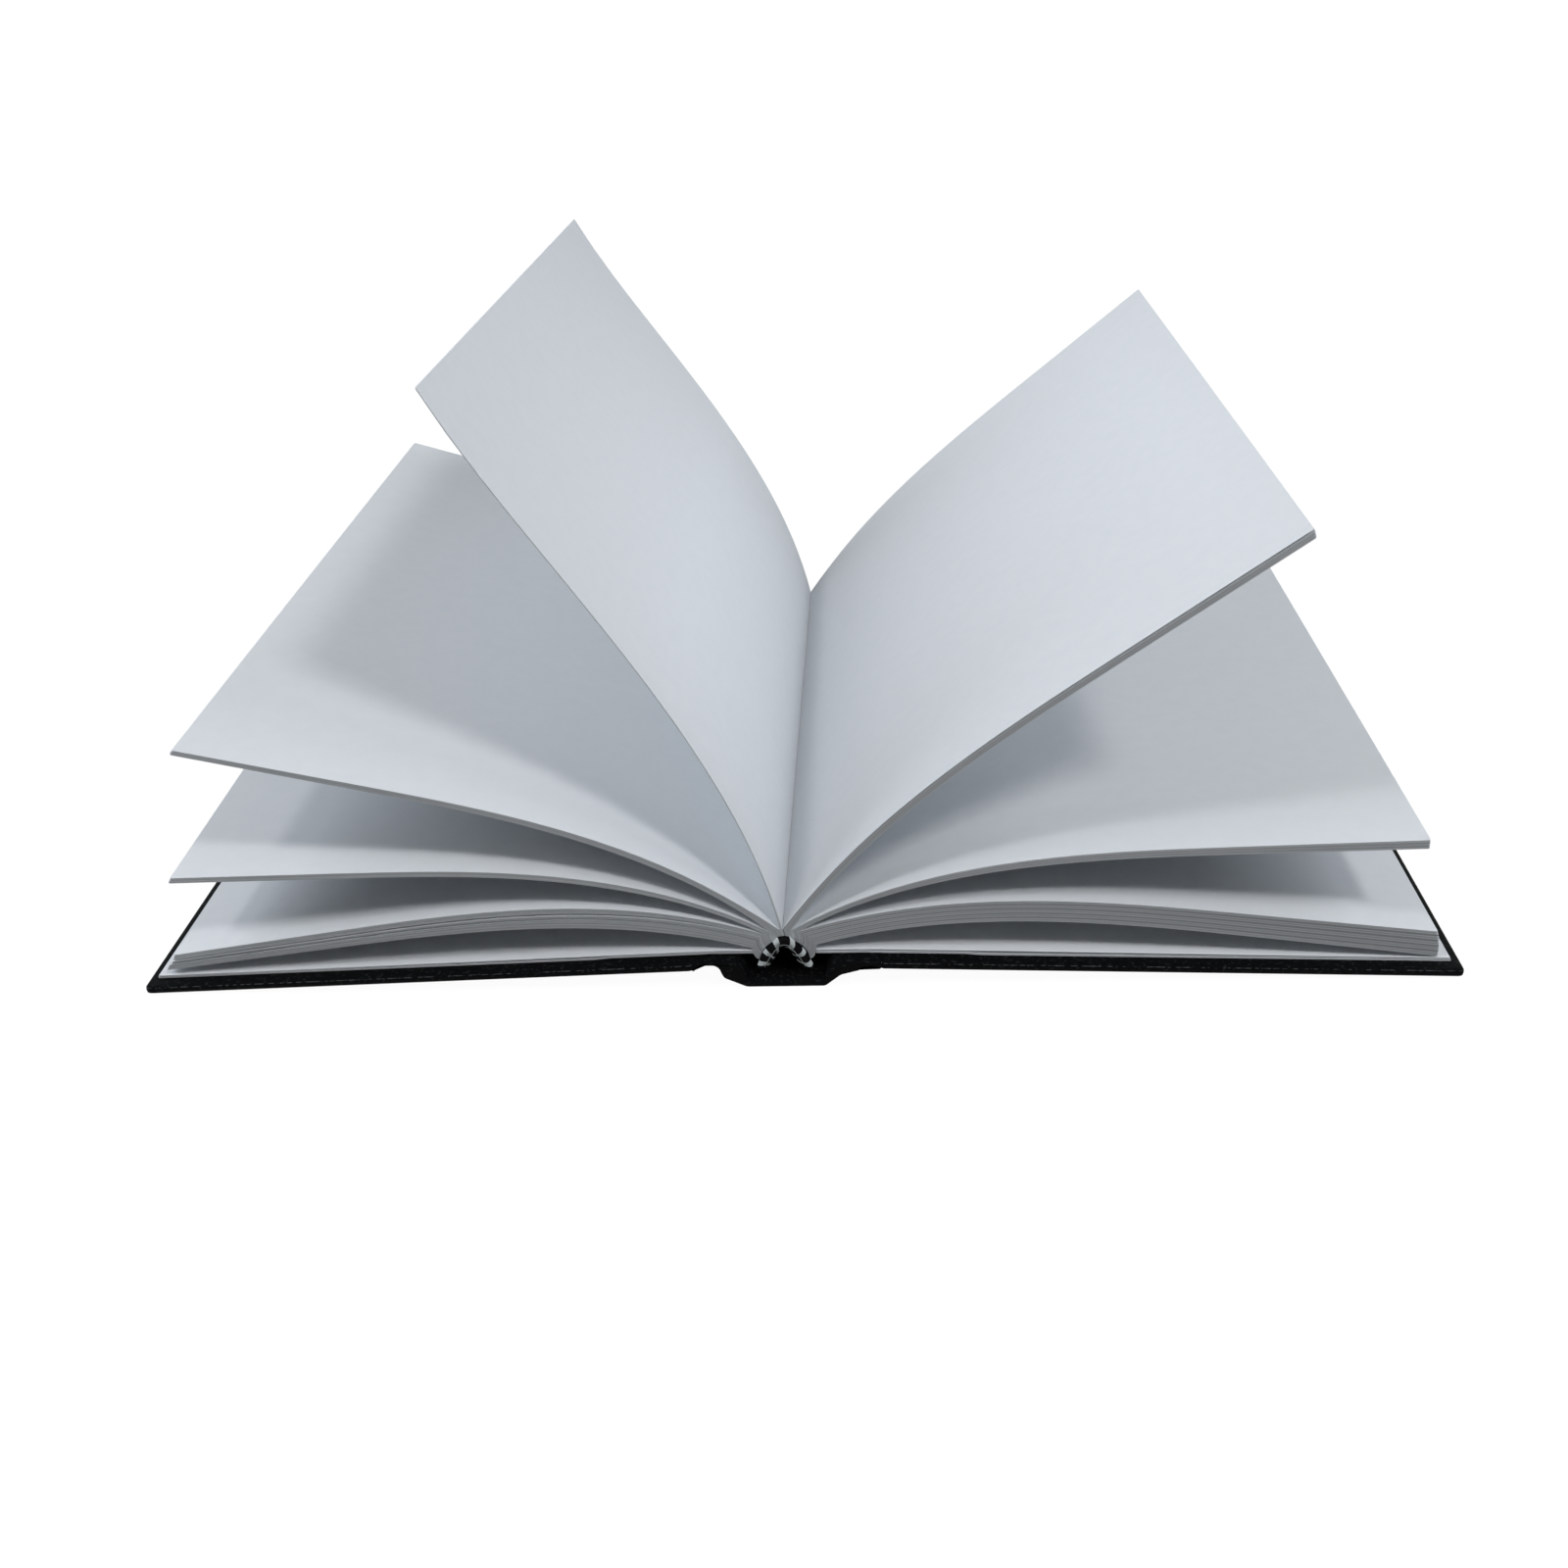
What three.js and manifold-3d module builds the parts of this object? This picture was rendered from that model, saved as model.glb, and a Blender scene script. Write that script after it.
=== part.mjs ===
// A blank A5 journal, case bound in black cloth, lying open with its leaves fanned out.
// Millimetres. X runs across the open book, Y along the spine from tail to head, Z up.
// The origin is on the table, under the middle of the open book.
import * as THREE from "three";
import { mergeVertices } from "three/addons/utils/BufferGeometryUtils.js";
import Module from "manifold-3d";

const wasm = await Module();
wasm.setup();

// Leaves and covers: an A5 text block, with covers that stand out beyond it on three sides.
const LEAF_HEIGHT = 210;
const COVER_HEIGHT = 217;
const FORE_EDGE = 156;
const ENDPAPER_EDGE = 153.6;

// The rounded back of the text block, an upright half circle in section.
const BACK_X = -0.3;
const BACK_Z = 5.3;
const BACK_RADIUS = 5.8;
// Glue and sewing hold the leaves together out to this radius, and beyond it they part.
const GUTTER_RADIUS = 8.6;

// A leaf's curvature fades evenly from the gutter to nothing at this distance along it.
const BEND_LENGTH = 105;
const BEND_STEPS = 18;
const CURL_STEPS = 4;
const BACK_STEPS = 20;
const BLOCK_SECTIONS = 4;

// Sheet thicknesses, and the glue film that keeps the sheets apart.
const GLUE = 0.1;
const CLOTH = 0.3;
const ENDPAPER = 0.35;
const MULL = 0.2;
const LINING = 0.25;

// Covers: board wrapped in cloth, tilted because the joints lift their inner edges.
const COVER_THICKNESS = 2.3;
const COVER_TILT = THREE.MathUtils.degToRad(1.89);
const COVER_ROUNDING = 0.9;
const BOARD_INNER_EDGE = 21.8;
const TURN_IN = 15;
const HINGE_GAP = 0.15;
const FLYLEAF_LIFT = 0.4;
const FLYLEAF_STEPS = 14;
const ENDPAPER_FOLD = 8.8;
const FOLD_DEPTH = 0.5;
// How far the gauze reaches on to a cover, and two corners of its way there from the back of the
// text block: how far out, and how far below the flap or the back's edge.
const MULL_REACH = 24;
const MULL_SHOULDER = [8.5, 0.7];
const MULL_START = [6.6, 0.5];

// Case spine: a card strip wrapped in cloth, flat on the table, with the cloth rising at both joints.
const STRIP_HALF_WIDTH = 8.9;
const STRIP_THICKNESS = 1.2;
const STRIP_TOP = CLOTH + GLUE + STRIP_THICKNESS;

// Headbands: a striped bead on the end of the text block, on a tape glued round its back.
const BEAD_RADIUS = 1.05;
const BEAD_TRACK = 6.42;
const TAPE_REACH = 13;
const TAPE_SAG = 1.4;
const TAPE_BEND = 5;
const TAPE_THICKNESS = 0.4;
const BEAD_LOW_SIDE = -60;
const BEAD_HIGH_SIDE = 240;
const BEAD_STEP = 30;

// Each bundle of leaves is bounded by two leaves. A leaf has the angle at which it leaves the
// gutter, its heading there and at its fore-edge, in degrees above the table, and its free length.
// twist is how much higher its heading is at the head than at the tail, curl how much its
// fore-edge lifts past the bend, and slits are partings inside the bundle: how far up through it,
// how wide at the fore-edge, and how far along the leaves they begin.
const BUNDLES = [
  {
    side: -1,
    first: { angle: 156, root: 17.5, tip: -7.7, length: 144.3 },
    last: { angle: 130.6, root: 19, tip: -8.4, length: 144.6 },
    slits: [
      { at: 0.36, width: 0.16, from: 80 },
      { at: 0.66, width: 0.14, from: 95 },
    ],
  },
  {
    side: -1,
    first: { angle: 128.7, root: 19.7, tip: -8.5, length: 144.9 },
    last: { angle: 123.5, root: 21.8, tip: -8.6, length: 145 },
  },
  {
    side: -1,
    first: { angle: 119.6, root: 30.3, tip: -0.7, length: 143 },
    last: { angle: 113.2, root: 32.1, tip: -0.7, length: 143.4 },
    twist: 4,
  },
  {
    side: -1,
    first: { angle: 110.5, root: 42.7, tip: 13.7, length: 143.6 },
    last: { angle: 101.9, root: 44.2, tip: 13.6, length: 144.4 },
    twist: 4.1,
  },
  {
    side: -1,
    first: { angle: 94.6, root: 79.5, tip: 57.2, length: 146.4 },
    last: { angle: 92.6, root: 79.5, tip: 57.2, length: 146.4 },
    twist: -2,
    curl: 7,
  },
  {
    side: 1,
    first: { angle: 89.2, root: 56.6, tip: 35.3, length: 147 },
    last: { angle: 79.2, root: 55.4, tip: 35.2, length: 145.2 },
    twist: 3,
    slits: [{ at: 0.16, width: 0.3, from: 40 }],
  },
  {
    side: 1,
    first: { angle: 77.2, root: 32.3, tip: 1.1, length: 146.4 },
    last: { angle: 70.4, root: 29.9, tip: 0.8, length: 145.1 },
    twist: 2,
  },
  {
    side: 1,
    first: { angle: 65.1, root: 19.8, tip: -7.4, length: 147.8 },
    last: { angle: 29.5, root: 16.3, tip: -8.2, length: 144.8 },
    slits: [
      { at: 0.2, width: 0.2, from: 60 },
      { at: 0.43, width: 0.22, from: 45 },
      { at: 0.64, width: 0.22, from: 50 },
      { at: 0.83, width: 0.2, from: 70 },
    ],
  },
];

// Joints between the case spine and the covers: where the hinge line runs, how high the pressed
// groove rises above the underside of the cover, and the corners of the cloth between the groove
// and the flat spine, seen in section.
const FRONT_JOINT = {
  side: -1,
  hinge: 18.55,
  grooveHeight: 1.9,
  grooveEnd: [15.45, 4.2],
  flank: [
    [14.8, 2.6],
    [9.5, 0],
  ],
};
const BACK_JOINT = {
  side: 1,
  hinge: 19.5,
  grooveHeight: 0.8,
  grooveEnd: [17.2, 4.3],
  flank: [
    [12.8, 3.1],
    [9.1, 0],
  ],
};
const ARC_STEPS = 8;
// The turned-in cloth's upper surface at a joint, from below the flap down to the spine strip.
const JOINT_INNER = 11;
const JOINT_DROP = 0.2;
const JOINT_KNEE = [9.7, 4.2];

const WHITE_PAPER = 0xdfe4ea;
const BLACK_CLOTH = 0x0c0d0f;
const GREY_BOARD = 0x8d877c;
const BUFF_CARD = 0xb7a888;
const OFF_WHITE_GAUZE = 0xd8d2c2;
const BLACK_AND_WHITE_BAND = 0x55585c;

const book = new THREE.Group();

// Adds one named piece to a group.
function addPiece(group, name, geometry, color, roughness) {
  const material = new THREE.MeshStandardMaterial({ color, roughness, metalness: 0 });
  const mesh = new THREE.Mesh(geometry, material);
  mesh.name = name;
  group.add(mesh);
  return mesh;
}

// A straight length of an XZ section, from one Y to a greater one.
function prism(section, fromY, toY) {
  const shape = new THREE.Shape(section.map(([x, z]) => new THREE.Vector2(x, z)));
  const geometry = new THREE.ExtrudeGeometry(shape, {
    depth: toY - fromY,
    bevelEnabled: false,
    curveSegments: 1,
  });
  return geometry.rotateX(Math.PI / 2).translate(0, toY, 0);
}

function block(fromX, toX, fromY, toY, fromZ, toZ) {
  const geometry = new THREE.BoxGeometry(toX - fromX, toY - fromY, toZ - fromZ);
  return geometry.translate((fromX + toX) / 2, (fromY + toY) / 2, (fromZ + toZ) / 2);
}

// A closed geometry as a solid that can be joined and cut.
function solidOf(geometry) {
  const bare = geometry.index ? geometry.toNonIndexed() : geometry.clone();
  bare.deleteAttribute("normal");
  bare.deleteAttribute("uv");
  const merged = mergeVertices(bare, 1e-4);
  return new wasm.Manifold(
    new wasm.Mesh({
      numProp: 3,
      vertProperties: new Float32Array(merged.attributes.position.array),
      triVerts: new Uint32Array(merged.index.array),
    }),
  );
}

function geometryOf(solid) {
  const mesh = solid.getMesh();
  const geometry = new THREE.BufferGeometry();
  geometry.setAttribute("position", new THREE.BufferAttribute(mesh.vertProperties, 3));
  geometry.setIndex(new THREE.BufferAttribute(mesh.triVerts, 1));
  return geometry;
}

// Points worked out at even angles over a quarter turn.
function quarterTurn(pointAt) {
  const points = [];
  for (let i = 0; i <= ARC_STEPS; i += 1) points.push(pointAt((Math.PI / 2) * (i / ARC_STEPS)));
  return points;
}

// Points of a circle about the back's centre, from one angle to another, in degrees from +X.
function backArc(radius, fromAngle, toAngle) {
  const points = [];
  for (let i = 0; i <= BACK_STEPS; i += 1) {
    const share = i / BACK_STEPS;
    const angle = THREE.MathUtils.degToRad(fromAngle + (toAngle - fromAngle) * share);
    points.push([BACK_X + radius * Math.cos(angle), BACK_Z + radius * Math.sin(angle)]);
  }
  return points;
}

// A sheet seen on edge: a path given a thickness, which grows to the left of its direction.
function ribbon(path, thickness) {
  const raised = path.map(([x, z], i) => {
    const before = path[Math.max(i - 1, 0)];
    const after = path[Math.min(i + 1, path.length - 1)];
    const inward = [x - before[0], z - before[1]];
    const outward = [after[0] - x, after[1] - z];
    const a = new THREE.Vector2(-inward[1], inward[0]).normalize();
    const b = new THREE.Vector2(-outward[1], outward[0]).normalize();
    const normal = a.clone().add(b).normalize();
    const stretch = thickness / Math.max(normal.dot(a.lengthSq() > 0 ? a : b), 0.5);
    return [x + normal.x * stretch, z + normal.y * stretch];
  });
  return [...path, ...raised.reverse()];
}

// A leaf part of the way through a bundle.
function leafBetween(first, last, share) {
  const mix = (key) => first[key] + (last[key] - first[key]) * share;
  return { angle: mix("angle"), root: mix("root"), tip: mix("tip"), length: mix("length") };
}

// Distances along a leaf at which its section is worked out: evenly through the bend, then at the
// fore-edge, with a few between where the leaf curls.
function leafStations(leaf, bundle) {
  const stations = [];
  for (let i = 0; i <= BEND_STEPS; i += 1) stations.push((BEND_LENGTH * i) / BEND_STEPS);
  const steps = bundle.curl ? CURL_STEPS : 1;
  for (let i = 1; i <= steps; i += 1) {
    stations.push(BEND_LENGTH + ((leaf.length - BEND_LENGTH) * i) / steps);
  }
  return stations;
}

// A leaf's section from some distance along it to its fore-edge, drawn aside along its own normal
// by a spread that grows evenly to the fore-edge. Its heading falls from root to tip with the
// square of the distance left to the end of the bend.
function leafCurve(leaf, bundle, turn, from = 0, spread = 0) {
  const stations = leafStations(leaf, bundle);
  const start = stations.find((along) => along >= from);
  const tip = leaf.tip + turn;
  const headingAt = (along) => {
    const left = Math.max(1 - along / BEND_LENGTH, 0);
    const past = Math.max(along - BEND_LENGTH, 0) / (leaf.length - BEND_LENGTH);
    const degrees = tip + (leaf.root - tip) * left ** 2 + (bundle.curl ?? 0) * past ** 2;
    return THREE.MathUtils.degToRad(degrees);
  };
  const angle = THREE.MathUtils.degToRad(leaf.angle);
  let x = BACK_X + GUTTER_RADIUS * Math.cos(angle);
  let z = BACK_Z + GUTTER_RADIUS * Math.sin(angle);
  const points = [];
  stations.forEach((along, i) => {
    if (i > 0) {
      const step = along - stations[i - 1];
      const middle = headingAt(along - step / 2);
      x += bundle.side * Math.cos(middle) * step;
      z += Math.sin(middle) * step;
    }
    if (along < start) return;
    const heading = headingAt(along);
    const aside = (spread * (along - start)) / (leaf.length - start);
    points.push([x - bundle.side * Math.sin(heading) * aside, z + Math.cos(heading) * aside]);
  });
  return points;
}

// The section of the text block, head being 0 at the tail and 1 at the head: out along the first
// leaf of each bundle, over its fore-edge and its slits, and back along its last leaf.
function blockSection(head) {
  const outline = [];
  for (const bundle of BUNDLES) {
    const turn = (bundle.twist ?? 0) * head;
    outline.push(...leafCurve(bundle.first, bundle, turn));
    for (const slit of bundle.slits ?? []) {
      const leaf = leafBetween(bundle.first, bundle.last, slit.at);
      const towardsLast = (-bundle.side * slit.width) / 2;
      const nearFirst = leafCurve(leaf, bundle, turn, slit.from, -towardsLast);
      const nearLast = leafCurve(leaf, bundle, turn, slit.from, towardsLast);
      outline.push(...nearFirst.reverse(), ...nearLast.slice(1));
    }
    outline.push(...leafCurve(bundle.last, bundle, turn).reverse());
  }
  outline.push(...backArc(BACK_RADIUS, 0, 180));
  return outline;
}

// Joins equal outlines into one solid, each outline standing at its own Y, with flat ends.
function loft(outlines, stations) {
  const count = outlines[0].length;
  const positions = outlines.flatMap((outline, i) => outline.flatMap(([x, z]) => [x, stations[i], z]));
  const faces = [];
  for (let i = 0; i + 1 < outlines.length; i += 1) {
    for (let j = 0; j < count; j += 1) {
      const next = (j + 1) % count;
      const [a, b, c, d] = [i * count + j, i * count + next, (i + 1) * count + next, (i + 1) * count + j];
      faces.push(a, b, c, a, c, d);
    }
  }
  for (const end of [0, outlines.length - 1]) {
    const ring = outlines[end].map(([x, z]) => new THREE.Vector2(x, z));
    for (const [a, b, c] of THREE.ShapeUtils.triangulateShape(ring, [])) {
      const area = THREE.ShapeUtils.area([ring[a], ring[b], ring[c]]);
      const facesTail = area > 0;
      const wanted = end === 0;
      const order = facesTail === wanted ? [a, b, c] : [a, c, b];
      faces.push(...order.map((vertex) => end * count + vertex));
    }
  }
  const geometry = new THREE.BufferGeometry();
  geometry.setAttribute("position", new THREE.Float32BufferAttribute(positions, 3));
  geometry.setIndex(faces);
  return geometry;
}

function makeTextBlock() {
  const outlines = [];
  const stations = [];
  for (let i = 0; i <= BLOCK_SECTIONS; i += 1) {
    const head = i / BLOCK_SECTIONS;
    outlines.push(blockSection(head));
    stations.push((head - 0.5) * LEAF_HEIGHT);
  }
  addPiece(book, "text_block", loft(outlines, stations), WHITE_PAPER, 0.85);
}

// A headband, turned as a ring about the back's centre line and kept where it follows the back.
// end is -1 at the tail and 1 at the head.
function makeHeadband(name, end) {
  const face = LEAF_HEIGHT / 2;
  const beadY = face + GLUE + BEAD_RADIUS;
  const profile = [];
  for (let degrees = BEAD_LOW_SIDE; degrees <= BEAD_HIGH_SIDE; degrees += BEAD_STEP) {
    const angle = THREE.MathUtils.degToRad(degrees);
    profile.push([BEAD_TRACK + BEAD_RADIUS * Math.cos(angle), beadY + BEAD_RADIUS * Math.sin(angle)]);
  }
  const sagged = BEAD_TRACK - BEAD_RADIUS - TAPE_SAG;
  const glued = BACK_RADIUS - GLUE;
  profile.push([sagged, face - TAPE_THICKNESS / 2]);
  profile.push([sagged, face - TAPE_SAG]);
  profile.push([glued - TAPE_THICKNESS, face - TAPE_BEND]);
  profile.push([glued - TAPE_THICKNESS, face - TAPE_REACH]);
  profile.push([glued, face - TAPE_REACH]);
  profile.push([glued, face - TAPE_BEND]);
  profile.push([sagged + TAPE_THICKNESS, face - TAPE_SAG]);
  profile.push([sagged + TAPE_THICKNESS, face + GLUE]);
  profile.push(profile[0]);
  const points = profile.map(([radius, y]) => new THREE.Vector2(radius, y));
  const ring = new THREE.LatheGeometry(points, 2 * BACK_STEPS);
  const whole = solidOf(ring.translate(BACK_X, 0, BACK_Z));
  const upright = whole.volume() < 0 ? solidOf(flipped(geometryOf(whole))) : whole;
  const keep = solidOf(block(-20, 20, 0, 120, BACK_Z - 1, 20));
  const band = geometryOf(upright.intersect(keep));
  if (end < 0) band.rotateZ(Math.PI).translate(2 * BACK_X, 0, 0);
  addPiece(book, name, band, BLACK_AND_WHITE_BAND, 0.7);
}

// The same faces, turned to look the other way.
function flipped(geometry) {
  const index = geometry.index.array;
  for (let i = 0; i < index.length; i += 3) {
    [index[i + 1], index[i + 2]] = [index[i + 2], index[i + 1]];
  }
  return geometry;
}

// How high the underside of a cover lies at a distance from the spine, and how high a point is
// that stands some way above that underside.
function coverHeight(distance, above = 0) {
  return (FORE_EDGE - distance) * Math.tan(COVER_TILT) + above / Math.cos(COVER_TILT);
}

const PASTEDOWN_TOP = COVER_THICKNESS + GLUE + ENDPAPER;

// The cloth's underside across one joint, from the hinge line down to the flat spine.
function jointUnderside(joint) {
  const { side, hinge, grooveHeight, grooveEnd, flank } = joint;
  const top = coverHeight(hinge, grooveHeight);
  const from = hinge - HINGE_GAP;
  const groove = quarterTurn((angle) => [
    from - (from - grooveEnd[0]) * Math.sin(angle),
    top - (top - grooveEnd[1]) * (1 - Math.cos(angle)),
  ]);
  return [...groove, ...flank].map(([x, z]) => [side * x, z]);
}

// The cloth's upper surface where the turned-in ends close a joint, from the hinge line inwards.
function jointTop(joint) {
  const { side, hinge } = joint;
  const level = coverHeight(hinge, COVER_THICKNESS);
  const top = [
    [hinge - HINGE_GAP, level],
    [JOINT_INNER, level - JOINT_DROP],
    JOINT_KNEE,
    [STRIP_HALF_WIDTH + CLOTH, STRIP_TOP + GLUE + CLOTH],
  ];
  return top.map(([x, z]) => [side * x, z]);
}

// The case spine's cloth: one layer under the strip and up both joints, and at head and tail
// turned in over the end of the strip.
function makeSpineCloth() {
  const end = COVER_HEIGHT / 2;
  const underside = [...jointUnderside(FRONT_JOINT), ...jointUnderside(BACK_JOINT).reverse()];
  const closed = [...underside, ...jointTop(BACK_JOINT), ...jointTop(FRONT_JOINT).reverse()];
  let cloth = solidOf(prism(ribbon(underside, CLOTH), -end, end));
  cloth = cloth.add(solidOf(prism(closed, end - TURN_IN, end)));
  cloth = cloth.add(solidOf(prism(closed, -end, TURN_IN - end)));
  const pocket = STRIP_HALF_WIDTH + GLUE;
  const mouth = end - CLOTH;
  cloth = cloth.subtract(solidOf(block(-pocket, pocket, -mouth, mouth, CLOTH, STRIP_TOP + GLUE)));
  addPiece(book, "spine_cloth", geometryOf(cloth), BLACK_CLOTH, 0.6);
}

function makeSpineStrip() {
  const reach = COVER_HEIGHT / 2 - CLOTH - GLUE;
  const low = CLOTH + GLUE;
  const strip = block(-STRIP_HALF_WIDTH, STRIP_HALF_WIDTH, -reach, reach, low, STRIP_TOP);
  addPiece(book, "spine_strip", strip, GREY_BOARD, 0.9);
}

// The gauze glued round the back, whose flaps pass under the endpapers as far as the hinges.
function makeMull() {
  const reach = LEAF_HEIGHT / 2 - TAPE_REACH - 1;
  const radius = BACK_RADIUS - GLUE;
  const flap = (joint) => {
    const { side, hinge } = joint;
    const level = coverHeight(hinge, COVER_THICKNESS + GLUE);
    return [
      [side * (hinge - HINGE_GAP), level],
      [side * JOINT_INNER, level],
      [side * MULL_SHOULDER[0] + BACK_X, level - MULL_SHOULDER[1]],
      [side * MULL_START[0] + BACK_X, BACK_Z - MULL_START[1]],
    ];
  };
  const front = flap(FRONT_JOINT);
  const back = flap(BACK_JOINT).reverse();
  const path = [...front, ...backArc(radius - MULL, 184, -4), ...back];
  addPiece(book, "spine_mull", prism(ribbon(path, MULL), -reach, reach), OFF_WHITE_GAUZE, 0.95);
}

// The paper that lines the back over the gauze, from headband to headband.
function makeLining() {
  const reach = LEAF_HEIGHT / 2 - TAPE_REACH - 2;
  const radius = BACK_RADIUS - GLUE - MULL - GLUE - LINING;
  const path = backArc(radius, 170, 10);
  addPiece(book, "back_lining", prism(ribbon(path, LINING), -reach, reach), BUFF_CARD, 0.9);
}

// A folded endpaper, without the half that is pasted on the board beyond the hinge: the fold lies
// against the shoulder of the text block, and the free half lies loosely over the cover.
function makeFlyleaf(name, joint) {
  const { side, hinge } = joint;
  const pasted = coverHeight(hinge, COVER_THICKNESS + GLUE + MULL + GLUE);
  const free = (x) => {
    const share = (x - hinge) / (ENDPAPER_EDGE - hinge);
    const lift = FLYLEAF_LIFT * Math.cos((share * Math.PI) / 2) ** 2;
    return coverHeight(x, PASTEDOWN_TOP) + GLUE + lift;
  };
  const freeSheet = [];
  for (let i = 0; i <= FLYLEAF_STEPS; i += 1) {
    const x = hinge + ((ENDPAPER_EDGE - hinge) * i) / FLYLEAF_STEPS;
    freeSheet.push([side * x, free(x)]);
  }
  const hingeX = side * (hinge - HINGE_GAP);
  const foldX = side * ENDPAPER_FOLD + BACK_X;
  const foldTop = pasted + 2 * ENDPAPER - GLUE;
  const section = [
    [hingeX, pasted],
    [hingeX, pasted + ENDPAPER],
    [foldX + side * 4 * ENDPAPER, pasted + ENDPAPER],
    ...freeSheet,
    ...freeSheet.map(([x, z]) => [x, z + ENDPAPER]).reverse(),
    [foldX, foldTop],
    [foldX - side * FOLD_DEPTH, (pasted + foldTop) / 2],
    [foldX, pasted],
  ];
  const reach = LEAF_HEIGHT / 2;
  addPiece(book, name, prism(section, -reach, reach), WHITE_PAPER, 0.85);
}

// A bar along X, with the cover's thickness and height, whose edges at head and tail are rounded.
function roundedBar() {
  const r = COVER_ROUNDING;
  const y = COVER_HEIGHT / 2 - r;
  const z = COVER_THICKNESS - r;
  const shape = new THREE.Shape();
  shape.absarc(y, r, r, -Math.PI / 2, 0, false);
  shape.absarc(y, z, r, 0, Math.PI / 2, false);
  shape.absarc(-y, z, r, Math.PI / 2, Math.PI, false);
  shape.absarc(-y, r, r, Math.PI, 1.5 * Math.PI, false);
  const length = 2 * FORE_EDGE;
  const options = { depth: length, bevelEnabled: false, curveSegments: 5 };
  const bar = new THREE.ExtrudeGeometry(shape, options);
  return bar.rotateX(Math.PI / 2).rotateZ(Math.PI / 2).translate(-length / 2, 0, 0);
}

// One cover in its own frame: x = 0 is the fore-edge, the spine lies inwards, z = 0 is its
// underside. The frame is then tilted so that the fore-edge rests on the table.
function makeCover(prefix, joint) {
  const { side, hinge, grooveHeight } = joint;
  const cover = new THREE.Group();
  cover.position.set(side * FORE_EDGE, 0, 0);
  cover.rotation.y = side * COVER_TILT;
  book.add(cover);

  // Distances from the fore-edge, measured along the cover.
  const inward = (distance) => (-side * distance) / Math.cos(COVER_TILT);
  const slabOf = (from, to, reach, low, high) => {
    const ends = [inward(from), inward(to)];
    return block(Math.min(...ends), Math.max(...ends), -reach, reach, low, high);
  };
  const boardEdge = FORE_EDGE - BOARD_INNER_EDGE;
  const hingeEdge = FORE_EDGE - hinge - HINGE_GAP;
  const half = COVER_HEIGHT / 2;

  // The cloth: round the fore-edge, along the underside to the board's inner edge, and up into
  // the groove as far as the hinge line.
  const r = COVER_ROUNDING;
  const lowEdge = quarterTurn((angle) => [r * (1 - Math.cos(angle)), r * (1 - Math.sin(angle))]);
  const highEdge = lowEdge.map(([x, z]) => [x, COVER_THICKNESS - z]).reverse();
  const groove = quarterTurn((angle) => [
    hingeEdge - (hingeEdge - boardEdge) * Math.cos(angle),
    grooveHeight * Math.sin(angle),
  ]);
  const outline = [...highEdge, ...lowEdge, ...groove, [hingeEdge, COVER_THICKNESS]];
  const section = outline.map(([x, z]) => [inward(x), z]);
  const wrapped = solidOf(prism(section, -half, half)).intersect(solidOf(roundedBar()));
  const inside = slabOf(CLOTH, boardEdge - CLOTH, half - CLOTH, CLOTH, COVER_THICKNESS - CLOTH);
  const window = slabOf(TURN_IN, boardEdge + GLUE, half - TURN_IN, COVER_THICKNESS / 2, 5);
  const cloth = wrapped.subtract(solidOf(inside)).subtract(solidOf(window));
  addPiece(cover, `${prefix}_cover_cloth`, geometryOf(cloth), BLACK_CLOTH, 0.6);

  const skin = CLOTH + GLUE;
  const board = slabOf(skin, boardEdge - skin, half - skin, skin, COVER_THICKNESS - skin);
  addPiece(cover, `${prefix}_board`, board, GREY_BOARD, 0.9);

  // The pastedown steps up over the gauze near the joint.
  const low = COVER_THICKNESS + GLUE;
  const gauzeEdge = hingeEdge - MULL_REACH;
  const step = MULL + GLUE;
  const paperEdge = FORE_EDGE - ENDPAPER_EDGE;
  const pastedown = [
    [paperEdge, low],
    [gauzeEdge - step, low],
    [gauzeEdge, low + step],
    [hingeEdge, low + step],
    [hingeEdge, low + step + ENDPAPER - GLUE],
    [gauzeEdge, low + step + ENDPAPER - GLUE],
    [gauzeEdge - 3 * step, low + ENDPAPER],
    [paperEdge, low + ENDPAPER],
  ].map(([x, z]) => [inward(x), z]);
  const paper = prism(pastedown, -LEAF_HEIGHT / 2, LEAF_HEIGHT / 2);
  addPiece(cover, `${prefix}_pastedown`, paper, WHITE_PAPER, 0.85);

  const flap = slabOf(gauzeEdge + step, hingeEdge, LEAF_HEIGHT / 2 - TAPE_REACH - 1, low, low + MULL);
  addPiece(cover, `${prefix}_mull_flap`, flap, OFF_WHITE_GAUZE, 0.95);
}

makeTextBlock();
makeHeadband("tail_headband", -1);
makeHeadband("head_headband", 1);
makeMull();
makeLining();
makeSpineStrip();
makeSpineCloth();
makeFlyleaf("front_flyleaf", FRONT_JOINT);
makeFlyleaf("back_flyleaf", BACK_JOINT);
makeCover("front", FRONT_JOINT);
makeCover("back", BACK_JOINT);

export default book;
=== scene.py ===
# %% [markdown]
# # A blank journal, lying open with its leaves fanned out
#
# The structure comes from a packed CAD model. This script keeps its joints and its outer form, and
# gives it thin separate leaves, cloth covers, endpapers and woven headbands.
#
# Shapes are worked out with numpy in millimetres, X across the book, Y along the spine, Z up. The
# front cover lies at the left, where X is negative.

import math
from collections import namedtuple

import bpy
import numpy as np
from mathutils import Matrix, Vector


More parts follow.
